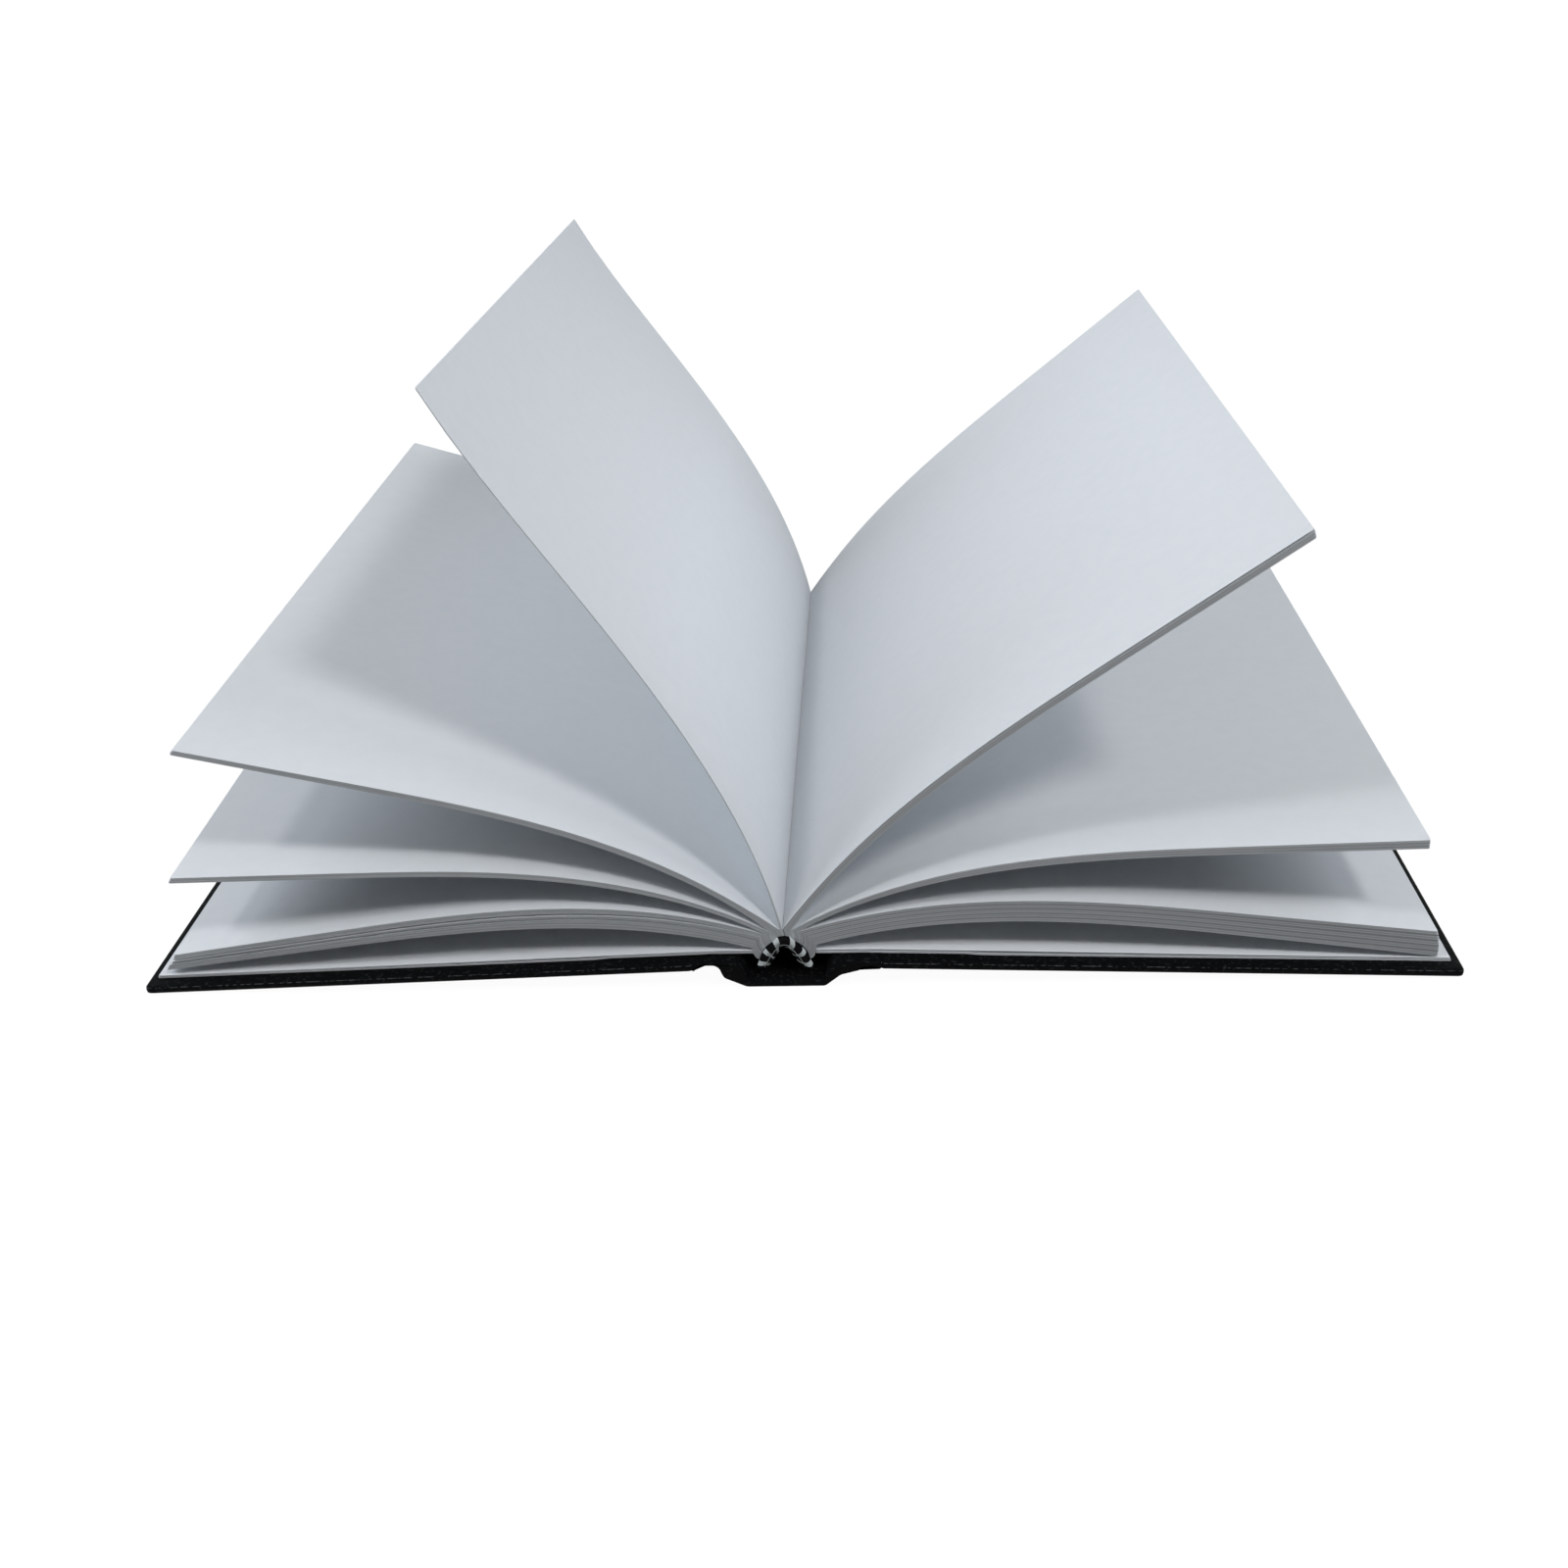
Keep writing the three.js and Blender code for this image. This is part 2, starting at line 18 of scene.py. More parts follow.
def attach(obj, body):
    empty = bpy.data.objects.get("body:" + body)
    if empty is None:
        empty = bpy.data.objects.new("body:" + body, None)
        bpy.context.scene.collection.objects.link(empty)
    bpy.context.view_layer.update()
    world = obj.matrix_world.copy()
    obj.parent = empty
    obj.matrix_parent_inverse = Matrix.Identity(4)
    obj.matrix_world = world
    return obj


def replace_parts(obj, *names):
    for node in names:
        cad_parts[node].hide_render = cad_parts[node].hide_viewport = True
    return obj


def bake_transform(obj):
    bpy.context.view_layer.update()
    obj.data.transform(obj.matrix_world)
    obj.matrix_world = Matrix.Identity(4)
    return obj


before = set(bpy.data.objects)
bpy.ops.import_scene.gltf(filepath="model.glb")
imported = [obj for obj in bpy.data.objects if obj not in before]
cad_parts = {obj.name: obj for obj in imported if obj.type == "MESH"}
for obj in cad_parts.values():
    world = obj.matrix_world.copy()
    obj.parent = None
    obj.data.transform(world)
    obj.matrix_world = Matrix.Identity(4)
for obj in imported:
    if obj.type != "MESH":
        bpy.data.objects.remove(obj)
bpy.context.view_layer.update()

MM = 0.001


def in_mm(bounds):
    """Corners in metres as rounded millimetres, for printing."""
    return [[round(value / MM, 1) for value in corner] for corner in bounds]


# %% [markdown]
# ## Sizes
#
# The journal has A5 leaves, and covers a little larger. These are dimensions of the CAD model. They
# could be measured from its solids, but a shape worked out from named sizes is easier to follow.
# The back of the text block is a half circle about a line along the spine, glued as far as the
# gutter, where the leaves part.

# %% Sizes
LEFT = -1
RIGHT = 1
LEAF_HEIGHT = 210.0
COVER_HEIGHT = 217.0
FORE_EDGE = 156.0
BACK_X = -0.3
BACK_Z = 5.3
BACK_RADIUS = 5.8
GUTTER_RADIUS = 8.6
GLUE = 0.1
print("The covers stand out by", (COVER_HEIGHT - LEAF_HEIGHT) / 2, "mm at head and tail")

# %% [markdown]
# ## Meshes
#
# A surface is a grid of points. `grid_faces` numbers its quads, and `add_mesh` makes the object.
# Modifiers could do the same, but a formula says exactly where each point of a leaf lies.

# %% Meshes


def grid_faces(rows, columns, close_columns=False, first=0):
    """Quads of a grid whose point (i, j) is number first + i * columns + j. Closed, its last column
    joins its first."""
    i = np.arange(rows - 1)[:, None]
    j = np.arange(columns if close_columns else columns - 1)[None, :]
    below = i + 1
    beside = (j + 1) % columns
    quads = [i * columns + j, i * columns + beside, below * columns + beside, below * columns + j]
    return first + np.stack(np.broadcast_arrays(*quads), -1).reshape(-1, 4)


def add_mesh(name, points, faces, material, attributes=None):
    """An object from points in millimetres, faces of any size, and values at the points."""
    mesh = bpy.data.meshes.new(name)
    faces = [list(map(int, face)) for face in faces]
    mesh.from_pydata((np.asarray(points, float) * MM).tolist(), [], faces)
    mesh.materials.append(material)
    for key, values in (attributes or {}).items():
        layer = mesh.attributes.new(key, "FLOAT", "POINT")
        layer.data.foreach_set("value", np.asarray(values, np.float32).ravel())
    mesh.polygons.foreach_set("use_smooth", [True] * len(mesh.polygons))
    made = bpy.data.objects.new(name, mesh)
    bpy.context.scene.collection.objects.link(made)
    return made


def sharpen(made, degrees):
    """Edges that turn more than this stay sharp, and all others are shaded smooth."""
    for other in bpy.context.selected_objects:
        other.select_set(False)
    made.select_set(True)
    bpy.context.view_layer.objects.active = made
    bpy.ops.object.shade_smooth_by_angle(angle=math.radians(degrees))


print("A grid of 3 rows of 4 points has", len(grid_faces(3, 4)), "quads")

# %% [markdown]
# ## Shader maths
#
# A material is a tree of nodes. It could be built node by node, but formulas are shorter to read. A
# `Term` is a socket that takes part in formulas: each operation adds the node that does it.

# %% Shader maths


class Term:
    """A value in a material's node tree, which can be added, multiplied and so on."""

    def __init__(self, tree, socket):
        self.tree = tree
        self.socket = socket

    def node(self, kind, output=0, inputs=None, **settings):
        """Any node, with its settings and its inputs given by name or number."""
        made = self.tree.nodes.new(kind)
        for key, value in settings.items():
            setattr(made, key, value)
        for key, value in (inputs or {}).items():
            join(self.tree, value, made.inputs[key])
        return Term(self.tree, made.outputs[output])

    def maths(self, operation, *values):
        """One step of arithmetic, by the name that the Math node has for it."""
        inputs = dict(enumerate(values))
        return self.node("ShaderNodeMath", inputs=inputs, operation=operation)

    def __add__(self, other):
        return self.maths("ADD", self, other)

    def __radd__(self, other):
        return self.maths("ADD", other, self)

    def __sub__(self, other):
        return self.maths("SUBTRACT", self, other)

    def __rsub__(self, other):
        return self.maths("SUBTRACT", other, self)

    def __mul__(self, other):
        return self.maths("MULTIPLY", self, other)

    def __rmul__(self, other):
        return self.maths("MULTIPLY", other, self)

    def sine(self):
        """The sine of an angle in radians."""
        return self.maths("SINE", self)

    def above(self, edge, softness):
        """0 below edge and 1 above it, over a soft step."""
        inputs = {"Value": self, "From Min": edge - softness, "From Max": edge + softness}
        return self.node("ShaderNodeMapRange", inputs=inputs, interpolation_type="SMOOTHSTEP")

    def part(self, axis):
        """X, Y or Z of a vector."""
        return self.node("ShaderNodeSeparateXYZ", output=axis, inputs={0: self})

    def stretched(self, x, y, z):
        """A vector, each part multiplied by its own number."""
        inputs = {0: self, 1: (x, y, z)}
        return self.node("ShaderNodeVectorMath", inputs=inputs, operation="MULTIPLY")

    def noise(self, scale, detail):
        """Clouds round 0.5 with about this many lumps to the metre, each with finer ones on it."""
        inputs = {"Vector": self, "Scale": scale, "Detail": detail}
        return self.node("ShaderNodeTexNoise", inputs=inputs)

    def attribute(self, name):
        """The value that the mesh carries under this name."""
        return self.node("ShaderNodeAttribute", output="Fac", attribute_name=name)

    def between(self, low, high):
        """The colour that lies this far from low to high."""
        return self.node("ShaderNodeMix", output=2, inputs={0: self, 6: low, 7: high}, data_type="RGBA")


def join(tree, value, socket):
    """Links a Term to a socket, or writes a plain value on it, a colour with its alpha of 1."""
    if isinstance(value, Term):
        tree.links.new(value.socket, socket)
    elif hasattr(value, "__len__") and len(value) == 3 and socket.type == "RGBA":
        socket.default_value = (*value, 1)
    else:
        socket.default_value = value


print("A Term can do:", [name for name in vars(Term) if not name.startswith("_")])

# %% [markdown]
# ## Materials
#
# Every material starts from a Principled surface with a few constants. Image textures could colour
# it, but patterns worked out from a point's place stay sharp from near and need no file.

# %% New materials


def coordinates(tree, kind):
    """A point's place: Object on a piece, and Generated in the world."""
    return Term(tree, tree.nodes.new("ShaderNodeTexCoord").outputs[kind])


def new_material(name, **constants):
    """A material, its Principled node with these constants, and a point's place in the object."""
    material = bpy.data.materials.new(name)
    material.use_nodes = True
    tree = material.node_tree
    surface = tree.nodes["Principled BSDF"]
    for key, value in constants.items():
        join(tree, value, surface.inputs[key.replace("_", " ")])
    return material, surface, coordinates(tree, "Object")


def feed(surface, socket, value):
    """Lets a Term drive one of the surface's sockets."""
    join(value.tree, value, surface.inputs[socket])


def bump(surface, height, distance):
    """Height, from 0 to 1, as relief of that distance in metres."""
    inputs = {"Height": height, "Distance": distance, "Strength": 1.0}
    feed(surface, "Normal", height.node("ShaderNodeBump", inputs=inputs))


print("Materials from the CAD model:", len(bpy.data.materials))

# %% [markdown]
# The leaves are uncoated white paper: matt, faintly cool, and grey along the cut edges, because
# little light gets between the sheets. That grey is painted shade. A second material could colour
# the edges. Here the mesh carries a value, from 0 on a sheet's face to 1 on the darkest cut edges,
# so that each leaf's edge can have its own amount of painted shade.

# %% Paper
# The grey of the cut edges is painted shade.
CUT_EDGE_SHADE = (0.2, 0.21, 0.22)
PAPER_GRAIN = 0.00002


def make_paper(name, light, dark):
    """Clouds mix the two whites, the value "cut" mixes that with the painted shade of cut edges, and
    fine noise is the grain."""
    material, surface, place = new_material(name, Roughness=0.8, Specular_IOR_Level=0.2)
    sheet = place.noise(260, detail=4).above(0.5, 0.3).between(dark, light)
    feed(surface, "Base Color", place.attribute("cut").between(sheet, CUT_EDGE_SHADE))
    bump(surface, place.noise(2600, detail=2), PAPER_GRAIN)
    return material


paper = make_paper("Paper", light=(0.785, 0.81, 0.835), dark=(0.765, 0.792, 0.82))
endpaper = make_paper("Endpaper", light=(0.79, 0.81, 0.835), dark=(0.765, 0.79, 0.815))
print("Made:", paper.name, endpaper.name)

# %% [markdown]
# The covers are black book cloth, woven from two sets of threads, with a thin painted highlight
# along the boards' edges. Real threads would need millions of faces. Two sine waves that cross,
# along X and along Y, give the same small relief, and noise makes the threads uneven.

# %% Cover cloth
CLOTH_THREAD = 0.00042
CLOTH_RELIEF = 0.0002
# The hollows of the weave are darker by painted shade, and the tops lighter.
CLOTH_HOLLOW_SHADE = (0.0012, 0.0014, 0.0016)
CLOTH_THREAD_TOP = (0.0035, 0.0040, 0.0044)
# Colour of the painted highlight along the boards' edges, and in part of the pale flecks.
CLOTH_HIGHLIGHT_AND_FLECK = (0.075, 0.08, 0.08)


def make_cover_cloth():
    """The height of the cloth is six tenths weave, sin(turn x) sin(turn y), and four tenths noise
    drawn out across the book. Its tops are lighter and smoother, with painted shade in the hollows.
    Noise breaks the painted highlight along the boards' upper edges into dashes, and scatters a few
    pale flecks."""
    material, surface, place = new_material("Cover cloth", Specular_IOR_Level=0.03)
    turn = 2 * math.pi / CLOTH_THREAD
    uneven = place.noise(500, detail=2) * 0.9
    along = (place.part(0) * turn + uneven).sine()
    across = (place.part(1) * turn + uneven).sine()
    weave = along * across * 0.5 + 0.5
    slub = place.stretched(1, 4, 1).noise(900, detail=3)
    height = weave * 0.6 + slub * 0.4
    # A painted highlight, in dashes, on one ring along the boards' upper edges.
    worn = place.attribute("worn").above(0.6, 0.3) * place.noise(800, detail=5).above(0.52, 0.08)
    fleck = place.noise(1100, detail=2).above(0.62, 0.05) * 0.2
    # The colour follows the height: painted shade in the hollows, and uneven threads from the noise.
    cloth = height.between(CLOTH_HOLLOW_SHADE, CLOTH_THREAD_TOP)
    feed(surface, "Base Color", (worn + fleck).between(cloth, CLOTH_HIGHLIGHT_AND_FLECK))
    feed(surface, "Roughness", 0.7 - height * 0.2)
    bump(surface, height, CLOTH_RELIEF)
    return material


cover_cloth = make_cover_cloth()
print("Made:", cover_cloth.name)

# %% [markdown]
# A headband is wound from black and white thread in turn. Each stripe could be its own mesh. A
# value on the mesh, 1 on white threads, does it with one, and noise frays the stripes' edges.

# %% Headband thread
BLACK_THREAD = (0.001, 0.001, 0.0015)
WHITE_THREAD = (0.62, 0.66, 0.66)
THREAD_RELIEF = 0.00003


def make_headband_thread():
    """The value "white", with a little noise added, is cut off at a half to choose the thread."""
    material, surface, place = new_material("Headband thread", Roughness=0.6,
                                            Specular_IOR_Level=0.05)
    fray = place.noise(4000, detail=2)
    mask = (place.attribute("white") + fray * 0.2 - 0.1).above(0.5, 0.1)
    feed(surface, "Base Color", mask.between(BLACK_THREAD, WHITE_THREAD))
    bump(surface, fray, THREAD_RELIEF)
    return material


headband_thread = make_headband_thread()
print("Made:", headband_thread.name)

# %% [markdown]
# The pieces inside the case are grey board, brown lining paper and pale gauze. They can't be seen,
# so one recipe with a colour, a roughness and a grain is enough for all three.

# %% Materials inside the case


def make_plain(name, colour, roughness, grain, relief):
    """Noise mixes the colour with eight tenths of itself, and is also the relief."""
    material, surface, place = new_material(name, Roughness=roughness)
    fibre = place.noise(grain, detail=3)
    dark = tuple(0.8 * part for part in colour)
    feed(surface, "Base Color", fibre.between(dark, colour))
    bump(surface, fibre, relief)
    return material


board = make_plain("Board", (0.30, 0.28, 0.24), roughness=0.9, grain=900, relief=0.0001)
lining_paper = make_plain("Lining paper", (0.45, 0.37, 0.26), roughness=0.85, grain=1500,
                          relief=0.00003)
gauze = make_plain("Gauze", (0.65, 0.62, 0.54), roughness=0.95, grain=1800, relief=0.0001)
print("Made:", [made.name for made in (board, lining_paper, gauze)])

# %% [markdown]
# ## Bundles of leaves
#
# The open leaves lie in eight bundles. Each could be drawn by hand. A few values for its first and
# last leaf say the same: the angle round the back, the heading at the gutter and at the fore-edge,
# and the free length. Then come the number of leaves, the twist of the heading from tail to head,
# the curl at the fore-edge, and the partings, each how far through the bundle and how wide.

# %% Bundles
Leaf = namedtuple("Leaf", "angle root tip length")
Bundle = namedtuple("Bundle", "side first last leaves twist curl partings")
BUNDLES = {
    "lowest_left": Bundle(
        LEFT, Leaf(156, 17.5, -7.7, 144.3), Leaf(130.6, 19, -8.4, 144.6), 22, 0, 0,
        [(0.16, 0.18), (0.36, 0.3), (0.5, 0.15), (0.68, 0.5), (0.84, 0.15)]),
    "low_left": Bundle(
        LEFT, Leaf(128.7, 19.7, -8.5, 144.9), Leaf(123.5, 21.8, -8.6, 145), 10, 0, 0,
        [(0.5, 0.14)]),
    "middle_left": Bundle(
        LEFT, Leaf(119.6, 30.3, -0.7, 143), Leaf(113.2, 32.1, -0.7, 143.4), 11, 4, 0,
        [(0.55, 0.14)]),
    "upper_left": Bundle(
        LEFT, Leaf(110.5, 42.7, 13.7, 143.6), Leaf(101.9, 44.2, 13.6, 144.4), 11, 4.1, 0,
        [(0.6, 0.14)]),
    "standing_left": Bundle(
        LEFT, Leaf(94.6, 79.5, 57.2, 146.4), Leaf(92.6, 79.5, 57.2, 146.4), 1, -2, 7, []),
    "upper_right": Bundle(
        RIGHT, Leaf(89.2, 56.6, 35.3, 147), Leaf(79.2, 55.4, 35.2, 145.2), 15, 3, 0,
        [(0.07, 0.35), (0.5, 0.12), (0.75, 0.12)]),
    "middle_right": Bundle(
        RIGHT, Leaf(77.2, 32.3, 1.1, 146.4), Leaf(70.4, 29.9, 0.8, 145.1), 14, 2, 0,
        [(0.35, 0.16), (0.7, 0.16)]),
    "lowest_right": Bundle(
        RIGHT, Leaf(65.1, 19.8, -7.4, 147.8), Leaf(29.5, 16.3, -8.2, 144.8), 46, 0, 0,
        [(0.09, 0.15), (0.2, 0.34), (0.31, 0.2), (0.43, 0.42), (0.54, 0.2), (0.64, 0.38),
         (0.73, 0.2), (0.83, 0.36), (0.92, 0.15)]),
}
print(sum(bundle.leaves for bundle in BUNDLES.values()), "leaves in", len(BUNDLES), "bundles")

# %% [markdown]
# The openings between the bundles close up towards the gutter. Each edge of a bundle has an angle
# out on the leaves, one at the gutter, and one at the back, which the leaves fill from side to
# side. The angles at the gutter are given, and the others follow by interpolation.

# %% Gutter
CLOSING = 20.0
PARTING_ANGLES = [67.7, 78.2, 91.6, 96.0, 111.9, 121.5, 129.7]
leaf_angles = sorted(leaf.angle for bundle in BUNDLES.values() for leaf in bundle[1:3])
gutter_angles = np.concatenate([leaf_angles[:1], np.repeat(PARTING_ANGLES, 2), leaf_angles[-1:]])
back_angles = (gutter_angles - leaf_angles[0]) / (leaf_angles[-1] - leaf_angles[0]) * 180
ROOT_RADII = np.array([BACK_RADIUS + 0.05, 6.9, 7.8, GUTTER_RADIUS])
ROOT_EASE = 1.5


def leaf_root(angle):
    """Angle at the gutter, and X and Z of the glued part of a leaf. Its angle round the back goes
    from the one at the back to the one at the gutter by the power ROOT_EASE of the way."""
    gutter = math.radians(np.interp(angle, leaf_angles, gutter_angles))
    back = math.radians(np.interp(angle, leaf_angles, back_angles))
    way = (ROOT_RADII - BACK_RADIUS) / (GUTTER_RADIUS - BACK_RADIUS)
    turns = back + (gutter - back) * way**ROOT_EASE
    return gutter, BACK_X + ROOT_RADII * np.cos(turns), BACK_Z + ROOT_RADII * np.sin(turns)


print("The bundles part at these angles round the back:", PARTING_ANGLES)

# %% [markdown]
# ## Leaf curves
#
# The leaves are sewn at the rounded back. Each springs from it at its own angle and bends back
# down, most near the gutter. A cloth simulation could find such curves, but not these very ones, so
# each leaf is drawn: its points are found by walking along it in small steps, each in the direction
# of its heading.

# %% Leaf curves
BEND_LENGTH = 105.0
BEND_STEPS = np.linspace(0, BEND_LENGTH, 21)
CORNER = 0.5
END_ROWS = np.array([0.0, 0.05, 0.17, 0.5])
MIDDLE_ROWS = LEAF_HEIGHT * np.array([-0.25, 0.0, 0.25])
ASIDE_EASE = 0.6


def leaf_grid(length, trim, curl):
    """Y of each row of points across a leaf, close together at its two rounded corners, and how far
    along its row each point lies. Where a row crosses a corner, it ends short by
    corner - sqrt(corner^2 - inset^2)."""
    tail = -LEAF_HEIGHT / 2 + END_ROWS
    rows = np.concatenate([tail, MIDDLE_ROWS, -tail[::-1]])
    inset = np.clip(CORNER - (LEAF_HEIGHT / 2 - np.abs(rows)), 0, CORNER)
    free = length - trim - (CORNER - np.sqrt(CORNER**2 - inset**2))
    past = np.linspace(0, 1, 5 if curl else 3)[1:]
    straight = BEND_LENGTH + (free - BEND_LENGTH)[:, None] * past
    return rows, np.concatenate([np.tile(BEND_STEPS, (len(rows), 1)), straight], 1)


def leaf_heading(distance, rows, root, tip, length, twist, curl):
    """How steeply a leaf rises at the distance s along it, in radians: tip + (root - tip)
    (1 - s / bend)^2 as far as the end of the bend. The twist adds to the tip from tail to head, and
    the curl by the square of the way from the bend's end to the fore-edge."""
    left = np.clip(1 - distance / BEND_LENGTH, 0, None)
    beyond = np.clip(distance - BEND_LENGTH, 0, None) / (length - BEND_LENGTH)
    end = tip + twist * (rows / LEAF_HEIGHT + 0.5)[:, None]
    return np.radians(end + (root - end) * left**2 + curl * beyond**2)


def leaf_surface(bundle, share, aside, trim):
    """Points of the surface that lies at this share of the way from a bundle's first leaf to its
    last. A point is the sum of all steps before it. aside moves it along the leaf's normal by the
    power ASIDE_EASE of the way to the fore-edge, and trim shortens the leaf there. Near the gutter,
    it is shifted towards its closed-up place by the square of what is left of the first CLOSING
    millimetres."""
    values = np.array(bundle.first) * (1 - share) + np.array(bundle.last) * share
    angle, root, tip, length = values
    rows, s = leaf_grid(length, trim, bundle.curl)
    bend = (rows, root, tip, length, bundle.twist, bundle.curl)
    step = np.diff(s, axis=1)
    heading = leaf_heading((s[:, 1:] + s[:, :-1]) / 2, *bend)
    start = math.radians(angle)
    x = BACK_X + GUTTER_RADIUS * math.cos(start) + bundle.side * np.cumsum(np.cos(heading) * step, 1)
    z = BACK_Z + GUTTER_RADIUS * math.sin(start) + np.cumsum(np.sin(heading) * step, 1)

    gutter, root_x, root_z = leaf_root(angle)
    free = s[:, 1:]
    normal = leaf_heading(free, *bend)
    shift = GUTTER_RADIUS * np.clip(1 - free / CLOSING, 0, 1) ** 2
    away = aside * np.clip(free / length, 0, 1) ** ASIDE_EASE
    x += shift * (math.cos(gutter) - math.cos(start)) - bundle.side * np.sin(normal) * away
    z += shift * (math.sin(gutter) - math.sin(start)) + np.cos(normal) * away
    x = np.concatenate([np.tile(root_x, (len(rows), 1)), x], 1)
    z = np.concatenate([np.tile(root_z, (len(rows), 1)), z], 1)
    y = np.repeat(rows[:, None], x.shape[1], 1)
    return np.stack([x, y, z], -1)


highest = leaf_surface(BUNDLES["standing_left"], 0.5, 0, 0)[..., 2].max()
print("The standing leaf reaches a height of", round(highest, 1), "mm")

# %% [markdown]
# ## Partings and cut edges
#
# A stack of real leaves isn't even: here and there a thin dark line parts it, and every cut edge
# has its own grey. Lines could be drawn on one solid. Here the leaves beside a parting are pressed
# aside, so that they catch the light as real ones do, the edges near it get more painted shade, and
# each edge's share of painted shade also differs at random.

# %% Partings
PRESSED_REACH = 0.09
SHADE_RUN = 2.3
SHADE_RANGE = 0.3
PARTING_SHADE = 1.5
rng = np.random.default_rng(7)


def parting(bundle, share):
    """How far aside, in millimetres at the fore-edge, the partings press a leaf: half a parting's
    width beside it, and in proportion less out to PRESSED_REACH of the bundle."""
    pressed = 0.0
    for at, width in bundle.partings:
        off = (share - at) / PRESSED_REACH
        if abs(off) < 1:
            pressed += math.copysign(0.5 * width * (1 - abs(off)), off)
    return -bundle.side * pressed


def edge_shades(bundle):
    """How much painted shade each leaf's cut edge gets: random values every SHADE_RUN leaves with the
    others between them, more by the width of a parting beside it, and none on the uppermost leaf,
    whose edge is painted as lit."""
    leaves = np.arange(bundle.leaves)
    knots = np.arange(0, bundle.leaves + 2, SHADE_RUN)
    shades = np.interp(leaves, knots, rng.uniform(0, SHADE_RANGE, len(knots)))
    # Painted shade in the recess beside each parting.
    for at, width in bundle.partings:
        off = np.abs((leaves + 0.5) / bundle.leaves - at) * bundle.leaves
        shades += PARTING_SHADE * width * np.clip(1.3 - off / 1.2, 0, 1)
    # The uppermost leaf's edge is painted as lit, with no painted shade.
    shades[-1] = 0
    return np.clip(shades, 0, 1)


print("Partings in all:", sum(len(bundle.partings) for bundle in BUNDLES.values()))

# %% [markdown]
# ## Leaves
#
# The text block is 130 thin sheets that lie on each other. One solid would do from afar, but its
# edges would have no lines. So each leaf is a mesh of its own shape, between two surfaces a little
# less than its share of the bundle apart, and a bundle's leaves are one object.

# %% Leaves
AIR = 0.05
DRIFT = 0.06
TRIM = 0.1
TRIM_RANGE = 0.07
TRIM_WAVE = 0.03
TRIM_TURN = 2.1


def leaf_solid(sheets, first):
    """Points, faces and a mark of 1 on the cut edge, for the leaf between two surfaces. The wall
    round its edge has points of its own, so that it can have its own painted shade."""
    rows, columns = sheets[0].shape[:2]
    each = rows * columns
    numbers = np.arange(each).reshape(rows, columns)
    rim = np.concatenate([numbers[0, :-1], numbers[:-1, -1], numbers[-1, :0:-1], numbers[:0:-1, 0]])
    surfaces = [sheet.reshape(-1, 3) for sheet in sheets]
    walls = [surface[rim] for surface in surfaces]
    grid = first + grid_faces(rows, columns)
    wall = grid_faces(2, len(rim), close_columns=True, first=first + 2 * each)
    faces = np.concatenate([grid, each + grid[:, ::-1], wall[:, ::-1]])
    return np.concatenate(surfaces + walls), faces, np.repeat([0, 1], [2 * each, 2 * len(rim)])


def add_bundle(name, bundle):
    """All the leaves of a bundle. The leaf of number n lies between the shares (n + air) / count
    and (n + 1 - air + drift) / count. Its trim is part random and part a wave through the stack."""
    count = bundle.leaves
    air = AIR if count > 1 else 2 * AIR
    shades = edge_shades(bundle)
    points, faces, painted_edge_shade = [], [], []
    total = 0
    for number in range(count):
        drift = rng.uniform(-DRIFT, DRIFT) if count > 1 else 0
        trim = TRIM + TRIM_RANGE * rng.uniform(-1, 1) + TRIM_WAVE * math.sin(number * TRIM_TURN)
        shares = [(number + air) / count, min((number + 1 - air + drift) / count, 1)]
        sheets = [leaf_surface(bundle, share, parting(bundle, share), trim) for share in shares]
        leaf_points, leaf_faces, on_edge = leaf_solid(sheets, total)
        points.append(leaf_points)
        faces.append(leaf_faces)
        # Each leaf's cut edge gets its amount of painted shade.
        painted_edge_shade.append(on_edge * shades[number])
        total += len(leaf_points)
    made = add_mesh(name, np.concatenate(points), np.concatenate(faces), paper,
                    attributes={"cut": np.concatenate(painted_edge_shade)})
    sharpen(made, 30)
    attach(made, "root")
    return made


leaf_objects = [add_bundle(f"leaves_{name}", bundle) for name, bundle in BUNDLES.items()]
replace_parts(leaf_objects[0], "text_block")
print("Faces of the leaves:", sum(len(made.data.polygons) for made in leaf_objects))

# %% [markdown]
# ## Solids from rings
#
# The covers, the cloth and the endpapers have soft edges. A Bevel modifier could round them. Here a
# solid is a stack of rings instead, set in by a quarter circle towards both ends, because then one
# ring can carry a value, such as a painted highlight.

# %% Solids from rings


def rounded_ends(low, high, radius, steps):
    """How far each ring is set in, radius (1 - cos a), and its place, radius (1 - sin a) short of
    its end, with a from 90 degrees to 0 at the low end and from 0 to 90 at the high one."""
    quarter = np.radians(np.linspace(0, 90, steps))
    inset = radius * (1 - np.cos(quarter))
    short = radius * (1 - np.sin(quarter))
    return np.concatenate([inset[::-1], inset]), np.concatenate([low + short[::-1], high - short])


def stacked(rings):
    """Points and faces of rings that follow each other, with a flat cap at both ends."""
    count = len(rings[0])
    sides = grid_faces(len(rings), count, close_columns=True)
    first_cap = list(range(count))[::-1]
    last_cap = list(range((len(rings) - 1) * count, len(rings) * count))
    return np.concatenate(rings), [*sides.tolist(), first_cap, last_cap]


def turned_over(faces):
    """Faces that look the other way, for a mirror image."""
    return [face[::-1] for face in faces]


print("Set in by a quarter circle of 1 mm:", rounded_ends(0, 10, 1, 4)[0].round(2))

